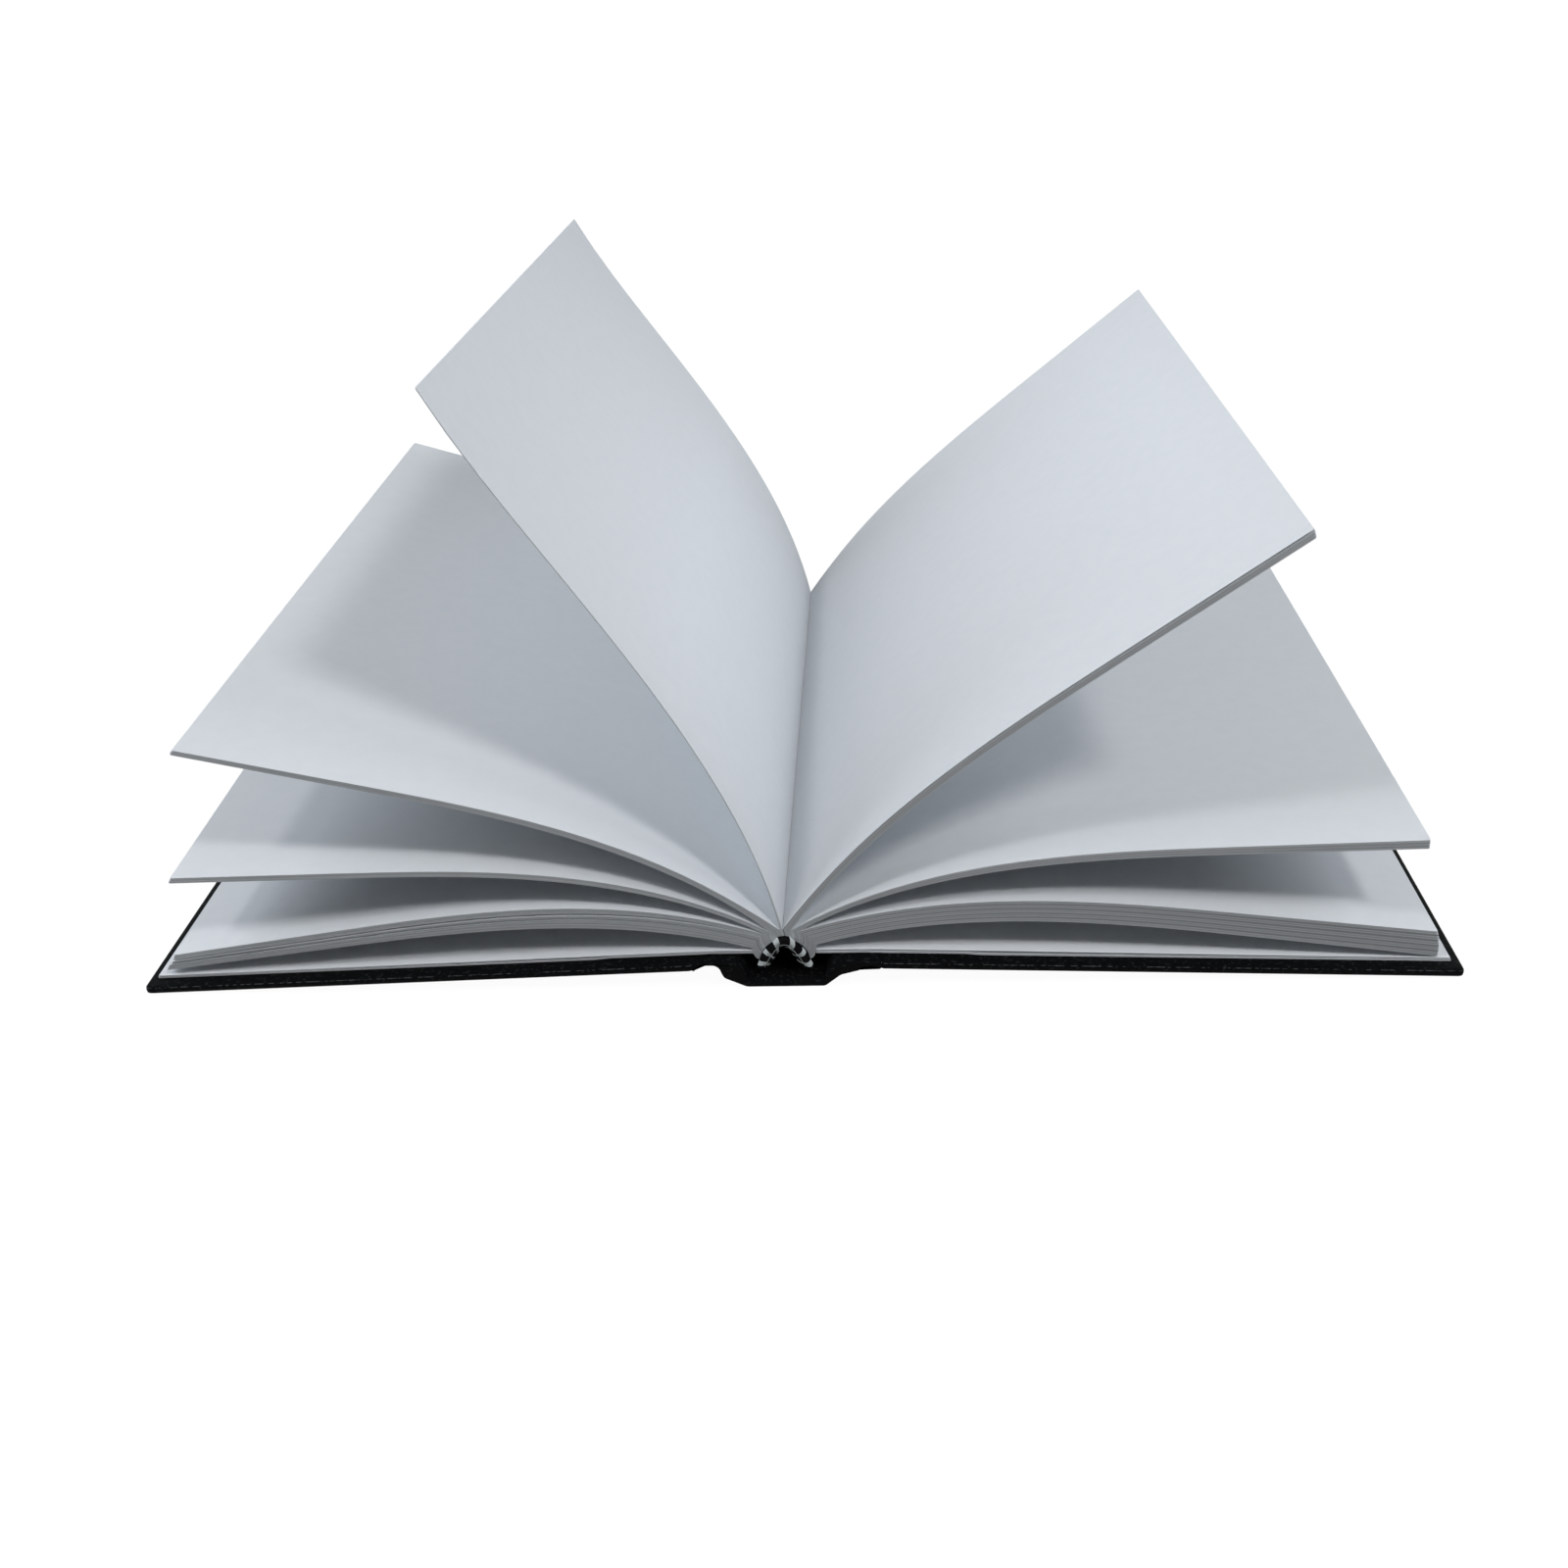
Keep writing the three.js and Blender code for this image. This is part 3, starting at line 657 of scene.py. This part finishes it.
# %% [markdown]
# ## Covers
#
# A cover is a board wrapped in cloth, which rounds its edges and corners. It leans on its fore-edge
# and rises a little towards the spine. A box could be scaled and turned into place. This one is
# worked out where it lies, so that its mesh needs no turning. A joint's values are its side, its
# hinge line, the height of the pressed groove above the cover's underside, where the groove ends,
# and the corners of the cloth from there to the flat spine.

# %% Covers
COVER_THICKNESS = 2.3
COVER_TILT = math.radians(1.89)
BOARD_INNER_EDGE = 21.8
COVER_EDGE = 0.95
COVER_CORNER = 1.3
COVER_STEPS = 7
# The ring that carries the painted highlight.
HIGHLIGHT_RING = COVER_STEPS + 2
Joint = namedtuple("Joint", "side hinge groove groove_end flank")
JOINTS = {
    "front": Joint(LEFT, 18.55, 1.9, (15.45, 4.2), ((14.8, 2.6), (9.5, 0.0))),
    "back": Joint(RIGHT, 19.5, 0.8, (17.2, 4.3), ((12.8, 3.1), (9.1, 0.0))),
}


def cover_slab():
    """Points and faces of a cover before it leans, and which points lie on the line along its upper
    edge that gets a painted highlight. Each ring is a rectangle whose corners are quarter circles of
    the radius corner - inset, about the same four centres."""
    far = FORE_EDGE - COVER_CORNER
    near = BOARD_INNER_EDGE + COVER_CORNER
    end = COVER_HEIGHT / 2 - COVER_CORNER
    corners = [(far, end), (near, end), (near, -end), (far, -end)]
    centres = np.repeat(corners, COVER_STEPS, 0)
    quarter = np.linspace(0, 90, COVER_STEPS)
    turns = np.radians(np.concatenate([quarter, quarter + 90, quarter + 180, quarter + 270]))
    around = np.stack([np.cos(turns), np.sin(turns)], 1)
    rings = []
    for inset, height in zip(*rounded_ends(0, COVER_THICKNESS, COVER_EDGE, COVER_STEPS)):
        outline = centres + (COVER_CORNER - inset) * around
        rings.append(np.column_stack([outline, np.full(len(outline), height)]))
    points, faces = stacked(rings)
    worn = np.repeat(np.arange(len(rings)) == HIGHLIGHT_RING, len(around))
    return points, faces, worn


def lean(points, side):
    """Points turned by the tilt about the lower corner of the fore-edge. They are stretched along
    the cover by 1 / cos(tilt) first, so that distances from the spine stay as they were."""
    distance, y, above = points.T
    along = (distance - FORE_EDGE) / math.cos(COVER_TILT)
    x = FORE_EDGE + along * math.cos(COVER_TILT) + above * math.sin(COVER_TILT)
    z = -along * math.sin(COVER_TILT) + above * math.cos(COVER_TILT)
    return np.stack([side * x, y, z], 1)


def add_cover(prefix):
    """The slab, leant and mirrored to its side. A mirror image has its faces turned over."""
    side = JOINTS[prefix].side
    points, faces, worn = cover_slab()
    if side == LEFT:
        faces = turned_over(faces)
    # The mesh carries the ring of the painted highlight.
    made = add_mesh(f"{prefix}_cover", lean(points, side), faces, cover_cloth,
                    attributes={"worn": worn})
    sharpen(made, 40)
    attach(made, f"{prefix}_cover")
    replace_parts(made, f"{prefix}_cover_cloth")
    return made


covers = [add_cover(prefix) for prefix in JOINTS]
print("Covers in mm:", in_mm([made.dimensions for made in covers]))

# %% [markdown]
# ## Sections along the spine
#
# Cloth and endpapers have the same section all along the spine. The section is a closed outline in
# XZ, rounded where cloth would be, and run from one Y to another. A Curve object could do this, but
# its ends would be flat.

# %% Sections along the spine
SECTION_STEPS = 5


def smoothed(section, times, reach):
    """A closed outline with its corners cut off again and again, at a quarter of each side but no
    further than reach, which halves each time."""
    for _ in range(times):
        after = np.roll(section, -1, 0) - section
        length = np.linalg.norm(after, axis=1)[:, None]
        share = np.minimum(0.25, reach / np.maximum(length, 1e-9))
        section = np.stack([section + after * share, section + after * (1 - share)], 1)
        section = section.reshape(-1, 2)
        reach /= 2
    return section


def offset_inwards(section, distance):
    """A closed outline, counter-clockwise, each point moved inwards along its normal, which lies
    square to the mean direction of the sides before and after it."""
    before = section - np.roll(section, 1, 0)
    after = np.roll(section, -1, 0) - section
    tangent = before / np.linalg.norm(before, axis=1)[:, None]
    tangent = tangent + after / np.linalg.norm(after, axis=1)[:, None]
    tangent /= np.maximum(np.linalg.norm(tangent, axis=1), 1e-6)[:, None]
    normal = np.stack([-tangent[:, 1], tangent[:, 0]], 1)
    return section + normal * distance


def run_section(section, from_y, to_y, rounding):
    """A closed outline in XZ run from one Y to another, both ends rounded. Half the sum of
    x z' - x' z is its area, which is negative where it runs clockwise, and then it is reversed."""
    after = np.roll(section, -1, 0)
    area = 0.5 * np.sum(section[:, 0] * after[:, 1] - after[:, 0] * section[:, 1])
    if area < 0:
        section = section[::-1]
    rings = []
    for inset, y in zip(*rounded_ends(from_y, to_y, rounding, SECTION_STEPS)):
        x, z = offset_inwards(section, inset).T
        rings.append(np.stack([x, np.full(len(x), y), z], 1))
    points, faces = stacked(rings)
    return points, turned_over(faces)


square = np.array([(0, 0), (1, 0), (1, 1), (0, 1)])
print("A square with its corners cut twice has", len(smoothed(square, 2, 0.5)), "points")

# %% [markdown] ## Joint cloth  Between the covers and the spine the cloth is pressed into a groove,
# and it bends there when a cover turns. It could be a stiff piece with a gap beside it, but the gap
# would show. At head and tail the cloth is turned in, so the section is thick there and thin
# between.

# %% Joint section
CLOTH = 0.3
TURN_IN = 15.0
STRIP_TOP = 1.6
STRIP_HALF_WIDTH = 8.9
TUCK = 0.8
CLOTH_EDGE = 0.35
THIN_EDGE = 0.02
# The two halves of the cloth overlap a little near the spine's middle.
OVERLAP = {"front": 2.0, "back": -1.2}


def cover_height(distance, above):
    """Height over the table, at a distance from the spine, of a point this far above the cover's
    underside: (fore-edge - distance) tan(tilt) + above / cos(tilt)."""
    return (FORE_EDGE - distance) * math.tan(COVER_TILT) + above / math.cos(COVER_TILT)


def joint_underside(prefix):
    """The cloth's lower surface in XZ, from the board's edge to the middle of the spine. The groove
    is two quarters of an ellipse, one up to the hinge line and one down from it."""
    _, hinge, groove, groove_end, flank = JOINTS[prefix]
    tucked = [(BOARD_INNER_EDGE + TUCK, cover_height(BOARD_INNER_EDGE, 0.5)),
              (BOARD_INNER_EDGE - 0.05, cover_height(BOARD_INNER_EDGE, 0.12))]
    turns = np.radians(np.linspace(15, 90, 6))
    x = hinge + (BOARD_INNER_EDGE - hinge) * np.cos(turns)
    rise = np.stack([x, cover_height(x, groove * np.sin(turns))], 1)
    top = cover_height(hinge, groove)
    fall = np.stack([hinge - (hinge - groove_end[0]) * np.sin(turns),
                     top - (top - groove_end[1]) * (1 - np.cos(turns))], 1)
    return np.concatenate([tucked, rise, fall, flank, [(5, 0), (-OVERLAP[prefix], 0)]])


def joint_sections(prefix):
    """The outline of the turned-in cloth with all that lies inside it, and that of the single
    cloth, both from the spine's middle to where they tuck into the cover."""
    hinge = JOINTS[prefix].hinge
    lower = joint_underside(prefix)
    inside = STRIP_TOP + GLUE + CLOTH
    tucked = (BOARD_INNER_EDGE + TUCK, cover_height(BOARD_INNER_EDGE, COVER_THICKNESS - 0.5))
    thick_upper = [
        (-OVERLAP[prefix], inside),
        (STRIP_HALF_WIDTH + 0.3, inside),
        (9.7, 4.2),
        (11, cover_height(hinge, COVER_THICKNESS) - 0.2),
        (hinge, cover_height(hinge, COVER_THICKNESS - 0.02)),
        (BOARD_INNER_EDGE - 0.2, cover_height(BOARD_INNER_EDGE, COVER_THICKNESS - 0.02)),
        tucked,
    ]
    thin_upper = [
        (-OVERLAP[prefix], CLOTH),
        (9, CLOTH),
        (12.4, 2.9 + CLOTH),
        (hinge - 3, cover_height(hinge, COVER_THICKNESS - 0.4)),
        (hinge, cover_height(hinge, COVER_THICKNESS - 0.05)),
        tucked,
    ]
    thick = smoothed(np.concatenate([lower, thick_upper]), times=2, reach=0.35)
    thin = smoothed(np.concatenate([lower, thin_upper]), times=1, reach=0.5)
    return thick, thin


print("Points of the two sections:", [len(section) for section in joint_sections("front")])


def add_joint_cloth(prefix):
    """The thick section at head and tail and the thin one between them, as one mesh."""
    side = JOINTS[prefix].side
    half = COVER_HEIGHT / 2
    thick, thin = joint_sections(prefix)
    points, faces, total = [], [], 0
    for section, low, high, rounding in (
        (thick, -half, TURN_IN - half, CLOTH_EDGE),
        (thin, TURN_IN - half, half - TURN_IN, THIN_EDGE),
        (thick, half - TURN_IN, half, CLOTH_EDGE),
    ):
        own, own_faces = run_section(section * [side, 1], low, high, rounding)
        points.append(own)
        faces += [[total + i for i in face] for face in own_faces]
        total += len(own)
    made = add_mesh(f"{prefix}_joint_cloth", np.concatenate(points), faces, cover_cloth)
    sharpen(made, 45)
    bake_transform(made)
    return made


joint_cloths = [add_joint_cloth(prefix) for prefix in JOINTS]
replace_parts(joint_cloths[0], "spine_cloth")
print("Joint cloths:", [made.name for made in joint_cloths])

# %% [markdown]
# ## Endpapers
#
# An endpaper is one folded sheet. Half of it is pasted on the cover, crosses the joint and bends
# with it. The other half lies loosely on top. Single planes would be simpler, but their edges would
# vanish from the front, so both halves are sheets with a thickness.

# %% Endpaper sheets
ENDPAPER = 0.35
ENDPAPER_EDGE = 153.6
# How much of the painted shade of cut edges the endpapers' ends get.
ENDPAPER_EDGE_SHADE = 0.35
MULL = 0.2
FOLD = 7.2


def add_sheet(name, path, thickness):
    """A sheet as high as the leaves, from a path in XZ and the same path moved to its left by the
    thickness. The ends are rounded by 0.04 mm. Where the thickness is negative, they flare by a
    quarter of it."""
    direction = np.gradient(path, axis=0)
    direction /= np.linalg.norm(direction, axis=1)[:, None]
    normal = np.stack([-direction[:, 1], direction[:, 0]], 1)
    section = np.concatenate([path, (path + normal * thickness)[::-1]])
    half = LEAF_HEIGHT / 2
    points, faces = run_section(section, -half, half, min(0.04, thickness / 4))
    cut = np.zeros(len(points))
    # The ends at head and tail get painted shade, as cut edges do.
    cut[:len(section)] = ENDPAPER_EDGE_SHADE
    cut[-len(section):] = ENDPAPER_EDGE_SHADE
    made = add_mesh(name, points, faces, endpaper, attributes={"cut": cut})
    sharpen(made, 40)
    return made


def fold_level(hinge):
    """Height of the pasted half where it crosses the joint, on the gauze and two layers of glue."""
    return cover_height(hinge, COVER_THICKNESS + GLUE + MULL + GLUE)


print("Pasted halves cross the joints at", [round(fold_level(j.hinge), 2) for j in JOINTS.values()])

# %% [markdown]
# The pasted half follows the cover down from the fore-edge, rises over the gauze that is glued
# under it, and stays level from the hinge line to the fold. It has many points near the hinge line,
# because it bends there.

# %% Pasted halves
GAUZE_EDGE = 46.0
GAUZE_SLOPE = 4.0


def add_pasted_half(prefix):
    """The height above the cover rises by the gauze and its glue, in proportion over GAUZE_SLOPE."""
    side, hinge = JOINTS[prefix][:2]
    distance = np.concatenate([
        np.linspace(ENDPAPER_EDGE, GAUZE_EDGE, 6),
        np.linspace(GAUZE_EDGE - GAUZE_SLOPE, hinge + 4, 8),
        np.linspace(hinge + 3, hinge - 3, 13),
        [13, 11, 9.5, 8.6, FOLD + 0.3],
    ])
    rise = (MULL + GLUE) * np.clip((GAUZE_EDGE - distance) / GAUZE_SLOPE, 0, 1)
    flat = cover_height(distance, COVER_THICKNESS + 0.02 + rise)
    height = np.where(distance > hinge, flat, fold_level(hinge))
    path = np.stack([side * distance + np.where(distance < hinge, BACK_X, 0), height], 1)
    pasted = add_sheet(f"{prefix}_pastedown_paper", path, -side * (ENDPAPER + 0.05))
    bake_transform(pasted)
    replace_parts(pasted, f"{prefix}_pastedown")
    return pasted


print("The gauze lifts the pasted halves by", round(MULL + GLUE, 2), "mm")

# %% [markdown]
# The loose half starts at the fold and lies on the pasted one. It stands a little off it near the
# hinge line and settles towards the fore-edge, so that light gets under it there.

# %% Loose halves
LOOSE_LIFT = 0.4
LOOSE_THICKNESS = 0.22


def add_loose_half(prefix):
    """The lift falls by the square of a cosine from the hinge line to the fore-edge."""
    side, hinge = JOINTS[prefix][:2]
    share = np.linspace(0, 1, 40)
    distance = hinge + (ENDPAPER_EDGE - 0.15 - hinge) * share
    lift = LOOSE_LIFT * np.cos(share * math.pi / 2) ** 2
    height = cover_height(distance, COVER_THICKNESS + GLUE + ENDPAPER) + GLUE + lift + 0.06
    level = fold_level(hinge)
    fold = [(FOLD + 0.2, level + 0.3), (FOLD, level + 0.5), (FOLD + 0.5, level + 0.65),
            (hinge - 8, level + 0.65), (hinge - 4, height[0] + 0.05)]
    path = np.concatenate([fold, np.stack([distance, height], 1)]) * [side, 1]
    path[:len(fold), 0] += BACK_X
    free = add_sheet(f"{prefix}_flyleaf_paper", path, side * LOOSE_THICKNESS)
    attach(free, "root")
    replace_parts(free, f"{prefix}_flyleaf")
    return free


endpapers = [add(prefix) for prefix in JOINTS for add in (add_pasted_half, add_loose_half)]
print("Endpaper sheets:", [sheet.name for sheet in endpapers])

# %% [markdown]
# ## Headbands
#
# A headband is a bead of black and white threads wound side by side round a cord, above a skirt
# that is glued to the back. A curve with a bevel could follow the arch. A profile turned about the
# line along the spine also gives the skirt, and lets each row swell where a thread crosses it.

# %% Headband shapes
# How far the pointed arch lies inside the circle, by the angle from the top.
ARCH = [(0, 0), (12, 0.15), (23, 0.95), (43, 1.45), (65, 1.5), (85, 1.3), (99, 0.6)]
HEADBAND_ANGLES = np.linspace(-9, 189, 420)
HEADBAND_FACE = LEAF_HEIGHT / 2 + GLUE
STRIPE_TURN = 35.0
STRIPE_FIRST = 3.0
STRIPE_SHARPNESS = 22


def revolved(profile, pulled, swell=None):
    """A profile (radius, y) turned about the back's centre line, as a grid with one row for each
    angle. The radius is less by the depth of the arch times pulled. swell is how far each row
    stands out from its own middle."""
    turns = np.radians(HEADBAND_ANGLES)
    depth = np.interp(np.abs(HEADBAND_ANGLES - 90), *np.transpose(ARCH))
    radius = profile[None, :, 0] - depth[:, None] * pulled[None]
    y = np.repeat(profile[None, :, 1], len(turns), 0)
    if swell is not None:
        middle = radius.mean(1, keepdims=True)
        radius = middle + (radius - middle) * swell[:, None]
        y = y.mean() + (y - y.mean()) * swell[:, None]
    x = BACK_X + radius * np.cos(turns)[:, None]
    z = BACK_Z + radius * np.sin(turns)[:, None]
    return np.stack([x, y, z], -1)


def white_threads(lean, share):
    """1 on white threads and 0 on black ones: the white ones fill this share of every STRIPE_TURN
    degrees round the back. lean shifts them, by degrees, from point to point of the profile."""
    phase = ((HEADBAND_ANGLES[:, None] + lean - STRIPE_FIRST) / STRIPE_TURN + 0.5) % 1 - 0.5
    return np.clip((share / 2 - np.abs(phase)) * STRIPE_SHARPNESS + 0.5, 0, 1)


print("The pointed arch lies inside the circle by up to", max(depth for _, depth in ARCH), "mm")

# %% [markdown]
# The bead is a ring of points swept round the arch. Its rows swell and shrink by a cosine, once for
# each thread, and the stripes lean as wound thread does.

# %% Bead
BEAD_RADIUS = 1.05
BEAD_TRACK = 6.42
BEAD_SWELL = 0.08
BEAD_LEAN = 3
WHITE_SHARE = 0.36
THREAD = 0.34


def headband_bead():
    """Grid and white threads of the bead. A thread is THREAD wide along the bead's track."""
    around = np.radians(np.linspace(0, 360, 25)[:-1])
    ring = np.stack([BEAD_TRACK + BEAD_RADIUS * np.cos(around),
                     HEADBAND_FACE + BEAD_RADIUS + BEAD_RADIUS * np.sin(around)], 1)
    threads = np.radians(HEADBAND_ANGLES) * BEAD_TRACK / THREAD
    ridge = 0.5 + 0.5 * np.cos(2 * math.pi * threads)
    swell = 1 - BEAD_SWELL + BEAD_SWELL * ridge
    return (revolved(ring, np.ones(len(ring)), swell),
            white_threads(BEAD_LEAN * np.sin(around), WHITE_SHARE))


print("Threads side by side in a bead:", round(BEAD_TRACK * math.pi / THREAD))

# %% [markdown]
# Below the bead come a chain of thread, the skirt that turns in towards the hollow back, and the
# tape glued along the back. White stitches run down the skirt, slanting and widening. The bands
# could be three pieces, but one profile has no seams.

# %% Skirt and tape
# Each point is a radius and a distance beyond the leaves' ends.
TAPE = [
    (5.55, 1.8), (5.2, 1.65), (4.9, 1.45), (4.6, 1.2), (4.3, 0.9), (4.1, 0.5), (4.0, 0.0),
    (4.05, -1.6), (4.9, -3.6), (5.3, -5.0), (5.3, -13.0), (5.55, -13.0), (5.55, -5.0), (5.3, -3.0),
]
# How far down the skirt each of its points is.
SKIRT = np.array([0, 0.1, 0.35, 0.65, 0.9, 1.0, 1.0])
SKIRT_LEAN = 12
CHAIN_WHITE = 0.75
STITCH_POINTS = 5
ARCH_FADE = 3.6


def headband_tape():
    """Grid and white threads of the chain, the skirt and the tape. The arch fades out over
    ARCH_FADE millimetres inside the leaves' ends. A stitch's share grows from 0.2 to 0.4 down the
    skirt, and white ends after the first STITCH_POINTS points of the profile."""
    profile = np.array([(radius, HEADBAND_FACE + beyond) for radius, beyond in TAPE])
    pulled = np.clip(1 + (profile[:, 1] - HEADBAND_FACE) / ARCH_FADE, 0, 1)
    down = np.append(SKIRT, np.zeros(len(TAPE) - len(SKIRT)))
    white = white_threads(-SKIRT_LEAN * down, 0.2 + 0.2 * down)
    white[:, 0] = CHAIN_WHITE
    white[:, STITCH_POINTS:] = 0
    return revolved(profile, pulled), white


def add_headband(name, end):
    """Bead and tape in one mesh, at the tail as they are and at the head as a mirror image."""
    points, faces, values = [], [], []
    total = 0
    for grid, white in (headband_bead(), headband_tape()):
        faces.append(grid_faces(*grid.shape[:2], close_columns=True, first=total))
        points.append((grid * [1, end, 1]).reshape(-1, 3))
        values.append(white.ravel())
        total += len(points[-1])
    faces = np.concatenate(faces)
    if end > 0:
        faces = faces[:, ::-1]
    made = add_mesh(name, np.concatenate(points), faces, headband_thread,
                    attributes={"white": np.concatenate(values)})
    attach(made, "root")
    return made


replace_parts(add_headband("tail_headband_thread", -1), "tail_headband")
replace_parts(add_headband("head_headband_thread", 1), "head_headband")
print("Headbands stand out by", round(GLUE + 2 * BEAD_RADIUS, 2), "mm")

# %% [markdown]
# ## Hidden pieces
#
# The boards, the spine strip, the gauze and the lining lie inside the cloth and can't be seen.
# They could be modelled anew, but the CAD model's own solids are enough, each with its material.

# %% Hidden pieces
HIDDEN = {
    "front_board": board,
    "back_board": board,
    "spine_strip": board,
    "spine_mull": gauze,
    "front_mull_flap": gauze,
    "back_mull_flap": gauze,
    "back_lining": lining_paper,
}
for name, material in HIDDEN.items():
    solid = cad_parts[name]
    solid.data.materials.clear()
    solid.data.materials.append(material)
print("Kept as they are:", list(HIDDEN))

# %% [markdown]
# ## Lamps
#
# In the photograph, shadows of the standing leaves fall backwards on both sides, and the rest of
# the light is soft. An image of a room could light it, but lamps are easier to aim: two small ones
# above and in front of the book for the shadows, and three wide windows for the soft light.

# %% Lamps
MIDDLE = Vector((0, 0, 0.05))
LAMP_SIZE = 0.15
WINDOW_SIZE = 1.0
WHITE = (1, 1, 1)
DAYLIGHT = (0.93, 0.98, 1.04)


def add_light(name, place, size, power, colour):
    """A square lamp that faces the middle of the book. Places and sizes are in metres, power in
    watts."""
    data = bpy.data.lights.new(name, "AREA")
    data.size = size
    data.energy = power
    data.color = colour
    lamp = bpy.data.objects.new(name, data)
    bpy.context.scene.collection.objects.link(lamp)
    lamp.location = place
    lamp.rotation_euler = (MIDDLE - Vector(place)).to_track_quat("-Z", "Y").to_euler()


add_light("Right lamp", (0.5, -0.585, 0.93), LAMP_SIZE, 3.6, WHITE)
add_light("Left lamp", (-0.53, -0.45, 0.97), LAMP_SIZE, 2.05, WHITE)
add_light("Left window", (-1.2, -0.1, 0.9), WINDOW_SIZE, 10.0, DAYLIGHT)
add_light("Right window", (1.2, -0.1, 0.9), WINDOW_SIZE, 7.2, DAYLIGHT)
add_light("Back window", (0, 1.3, 1.0), WINDOW_SIZE, 3.8, DAYLIGHT)
print("Watts of the lamps:", [(lamp.name, round(lamp.energy, 2)) for lamp in bpy.data.lights])

# %% [markdown]
# ## World
#
# The photograph has a plain white background. A white wall would do, but it would also throw light
# on the book. Light Path tells the rays apart: the camera sees white, also in reflections and
# through glass, and matt surfaces get only a faint light, most of it from above.

# %% World
SEEN_WHITE = 1.02
FAINT_BELOW = 0.025
FAINT_ABOVE = 0.09


def make_world():
    """Strength of the background: white where it is seen, and a faint light for every ray."""
    world = bpy.data.worlds.new("Room")
    world.use_nodes = True
    background = world.node_tree.nodes["Background"]
    background.inputs["Color"].default_value = (1, 1, 1, 1)
    heading = coordinates(world.node_tree, "Generated")
    seen = heading.node("ShaderNodeLightPath", output="Is Camera Ray")
    for kind in ("Is Glossy Ray", "Is Transmission Ray"):
        seen = seen.maths("MAXIMUM", seen, heading.node("ShaderNodeLightPath", output=kind))
    ambient = heading.part(2).above(0, 0.1) * FAINT_ABOVE + FAINT_BELOW
    feed(background, "Strength", seen * SEEN_WHITE + ambient)
    return world


bpy.context.scene.world = make_world()
print("Seen:", SEEN_WHITE, "faint light from above:", round(FAINT_ABOVE + FAINT_BELOW, 3))

# %% [markdown]
# ## Floor
#
# The floor is as white as the world, and takes a faint shadow round the book. A solid floor would
# hide the covers that are folded back below it, so this one is nearly clear, and quite clear beyond
# the book.

# %% Floor
FLOOR_LEVEL = -0.2
FLOOR_REACH = 60000.0
FLOOR_SHARE = 0.08


def make_floor_material():
    """A mix of a clear surface and a matt one, whose share fades out between 0.2 and 0.8 metres
    from the middle."""
    material = bpy.data.materials.new("Floor")
    material.use_nodes = True
    tree = material.node_tree
    spot = coordinates(tree, "Object")
    clear = spot.node("ShaderNodeBsdfTransparent")
    matt = spot.node("ShaderNodeBsdfDiffuse", inputs={"Color": (0.9, 0.9, 0.9)})
    distance = spot.node("ShaderNodeVectorMath", output=1, inputs={0: spot}, operation="LENGTH")
    share = FLOOR_SHARE - distance.above(0.5, 0.3) * FLOOR_SHARE
    mixed = spot.node("ShaderNodeMixShader", inputs={0: share, 1: clear, 2: matt})
    feed(tree.nodes["Material Output"], "Surface", mixed)
    return material


floor_corners = [(x * FLOOR_REACH, y * FLOOR_REACH, FLOOR_LEVEL)
                 for x, y in ((-1, -1), (1, -1), (1, 1), (-1, 1))]
floor = add_mesh("floor", floor_corners, [(0, 1, 2, 3)], make_floor_material())
floor.visible_diffuse = False
floor.visible_glossy = False
floor.visible_shadow = False
print("Floor:", -FLOOR_LEVEL, "mm below the covers")

# %% [markdown]
# ## Camera
#
# The photograph was taken from above the tail, a little to the right. A camera could be set by eye.
# This one was worked out from the corners of leaves and covers in the photograph, whose side is
# PHOTO_SIDE pixels. FOCAL_LENGTH is in the same pixels, and the place is in metres.

# %% Camera
PHOTO_SIDE = 1600
FOCAL_LENGTH = 1595.162
SENSOR_WIDTH = 36
FAR_AWAY = 200
PITCH = 0.50287
YAW = -0.07448
ROLL = -0.05741
CAMERA_PLACE = (0.024385, -0.408125, 0.219986)


def camera_turn():
    """The camera looks along the yaw, from Y towards X, and down by the pitch. Its right and up are
    then turned about that line by the roll."""
    forward = Vector((math.sin(YAW) * math.cos(PITCH), math.cos(YAW) * math.cos(PITCH),
                      -math.sin(PITCH)))
    level_right = Vector((math.cos(YAW), -math.sin(YAW), 0))
    level_up = level_right.cross(forward)
    right = math.cos(ROLL) * level_right + math.sin(ROLL) * level_up
    up = math.cos(ROLL) * level_up - math.sin(ROLL) * level_right
    return Matrix((right, up, -forward)).transposed().to_4x4()


camera_data = bpy.data.cameras.new("Camera")
camera_data.sensor_width = SENSOR_WIDTH
camera_data.lens = SENSOR_WIDTH * FOCAL_LENGTH / PHOTO_SIDE
camera_data.clip_end = FAR_AWAY
camera = bpy.data.objects.new("Camera", camera_data)
bpy.context.scene.collection.objects.link(camera)
camera.matrix_world = Matrix.Translation(CAMERA_PLACE) @ camera_turn()
bpy.context.scene.camera = camera
bpy.context.scene.view_settings.view_transform = "Standard"
print("The camera looks down by", round(math.degrees(PITCH), 1), "degrees")

# %% [markdown]
# ## Finish
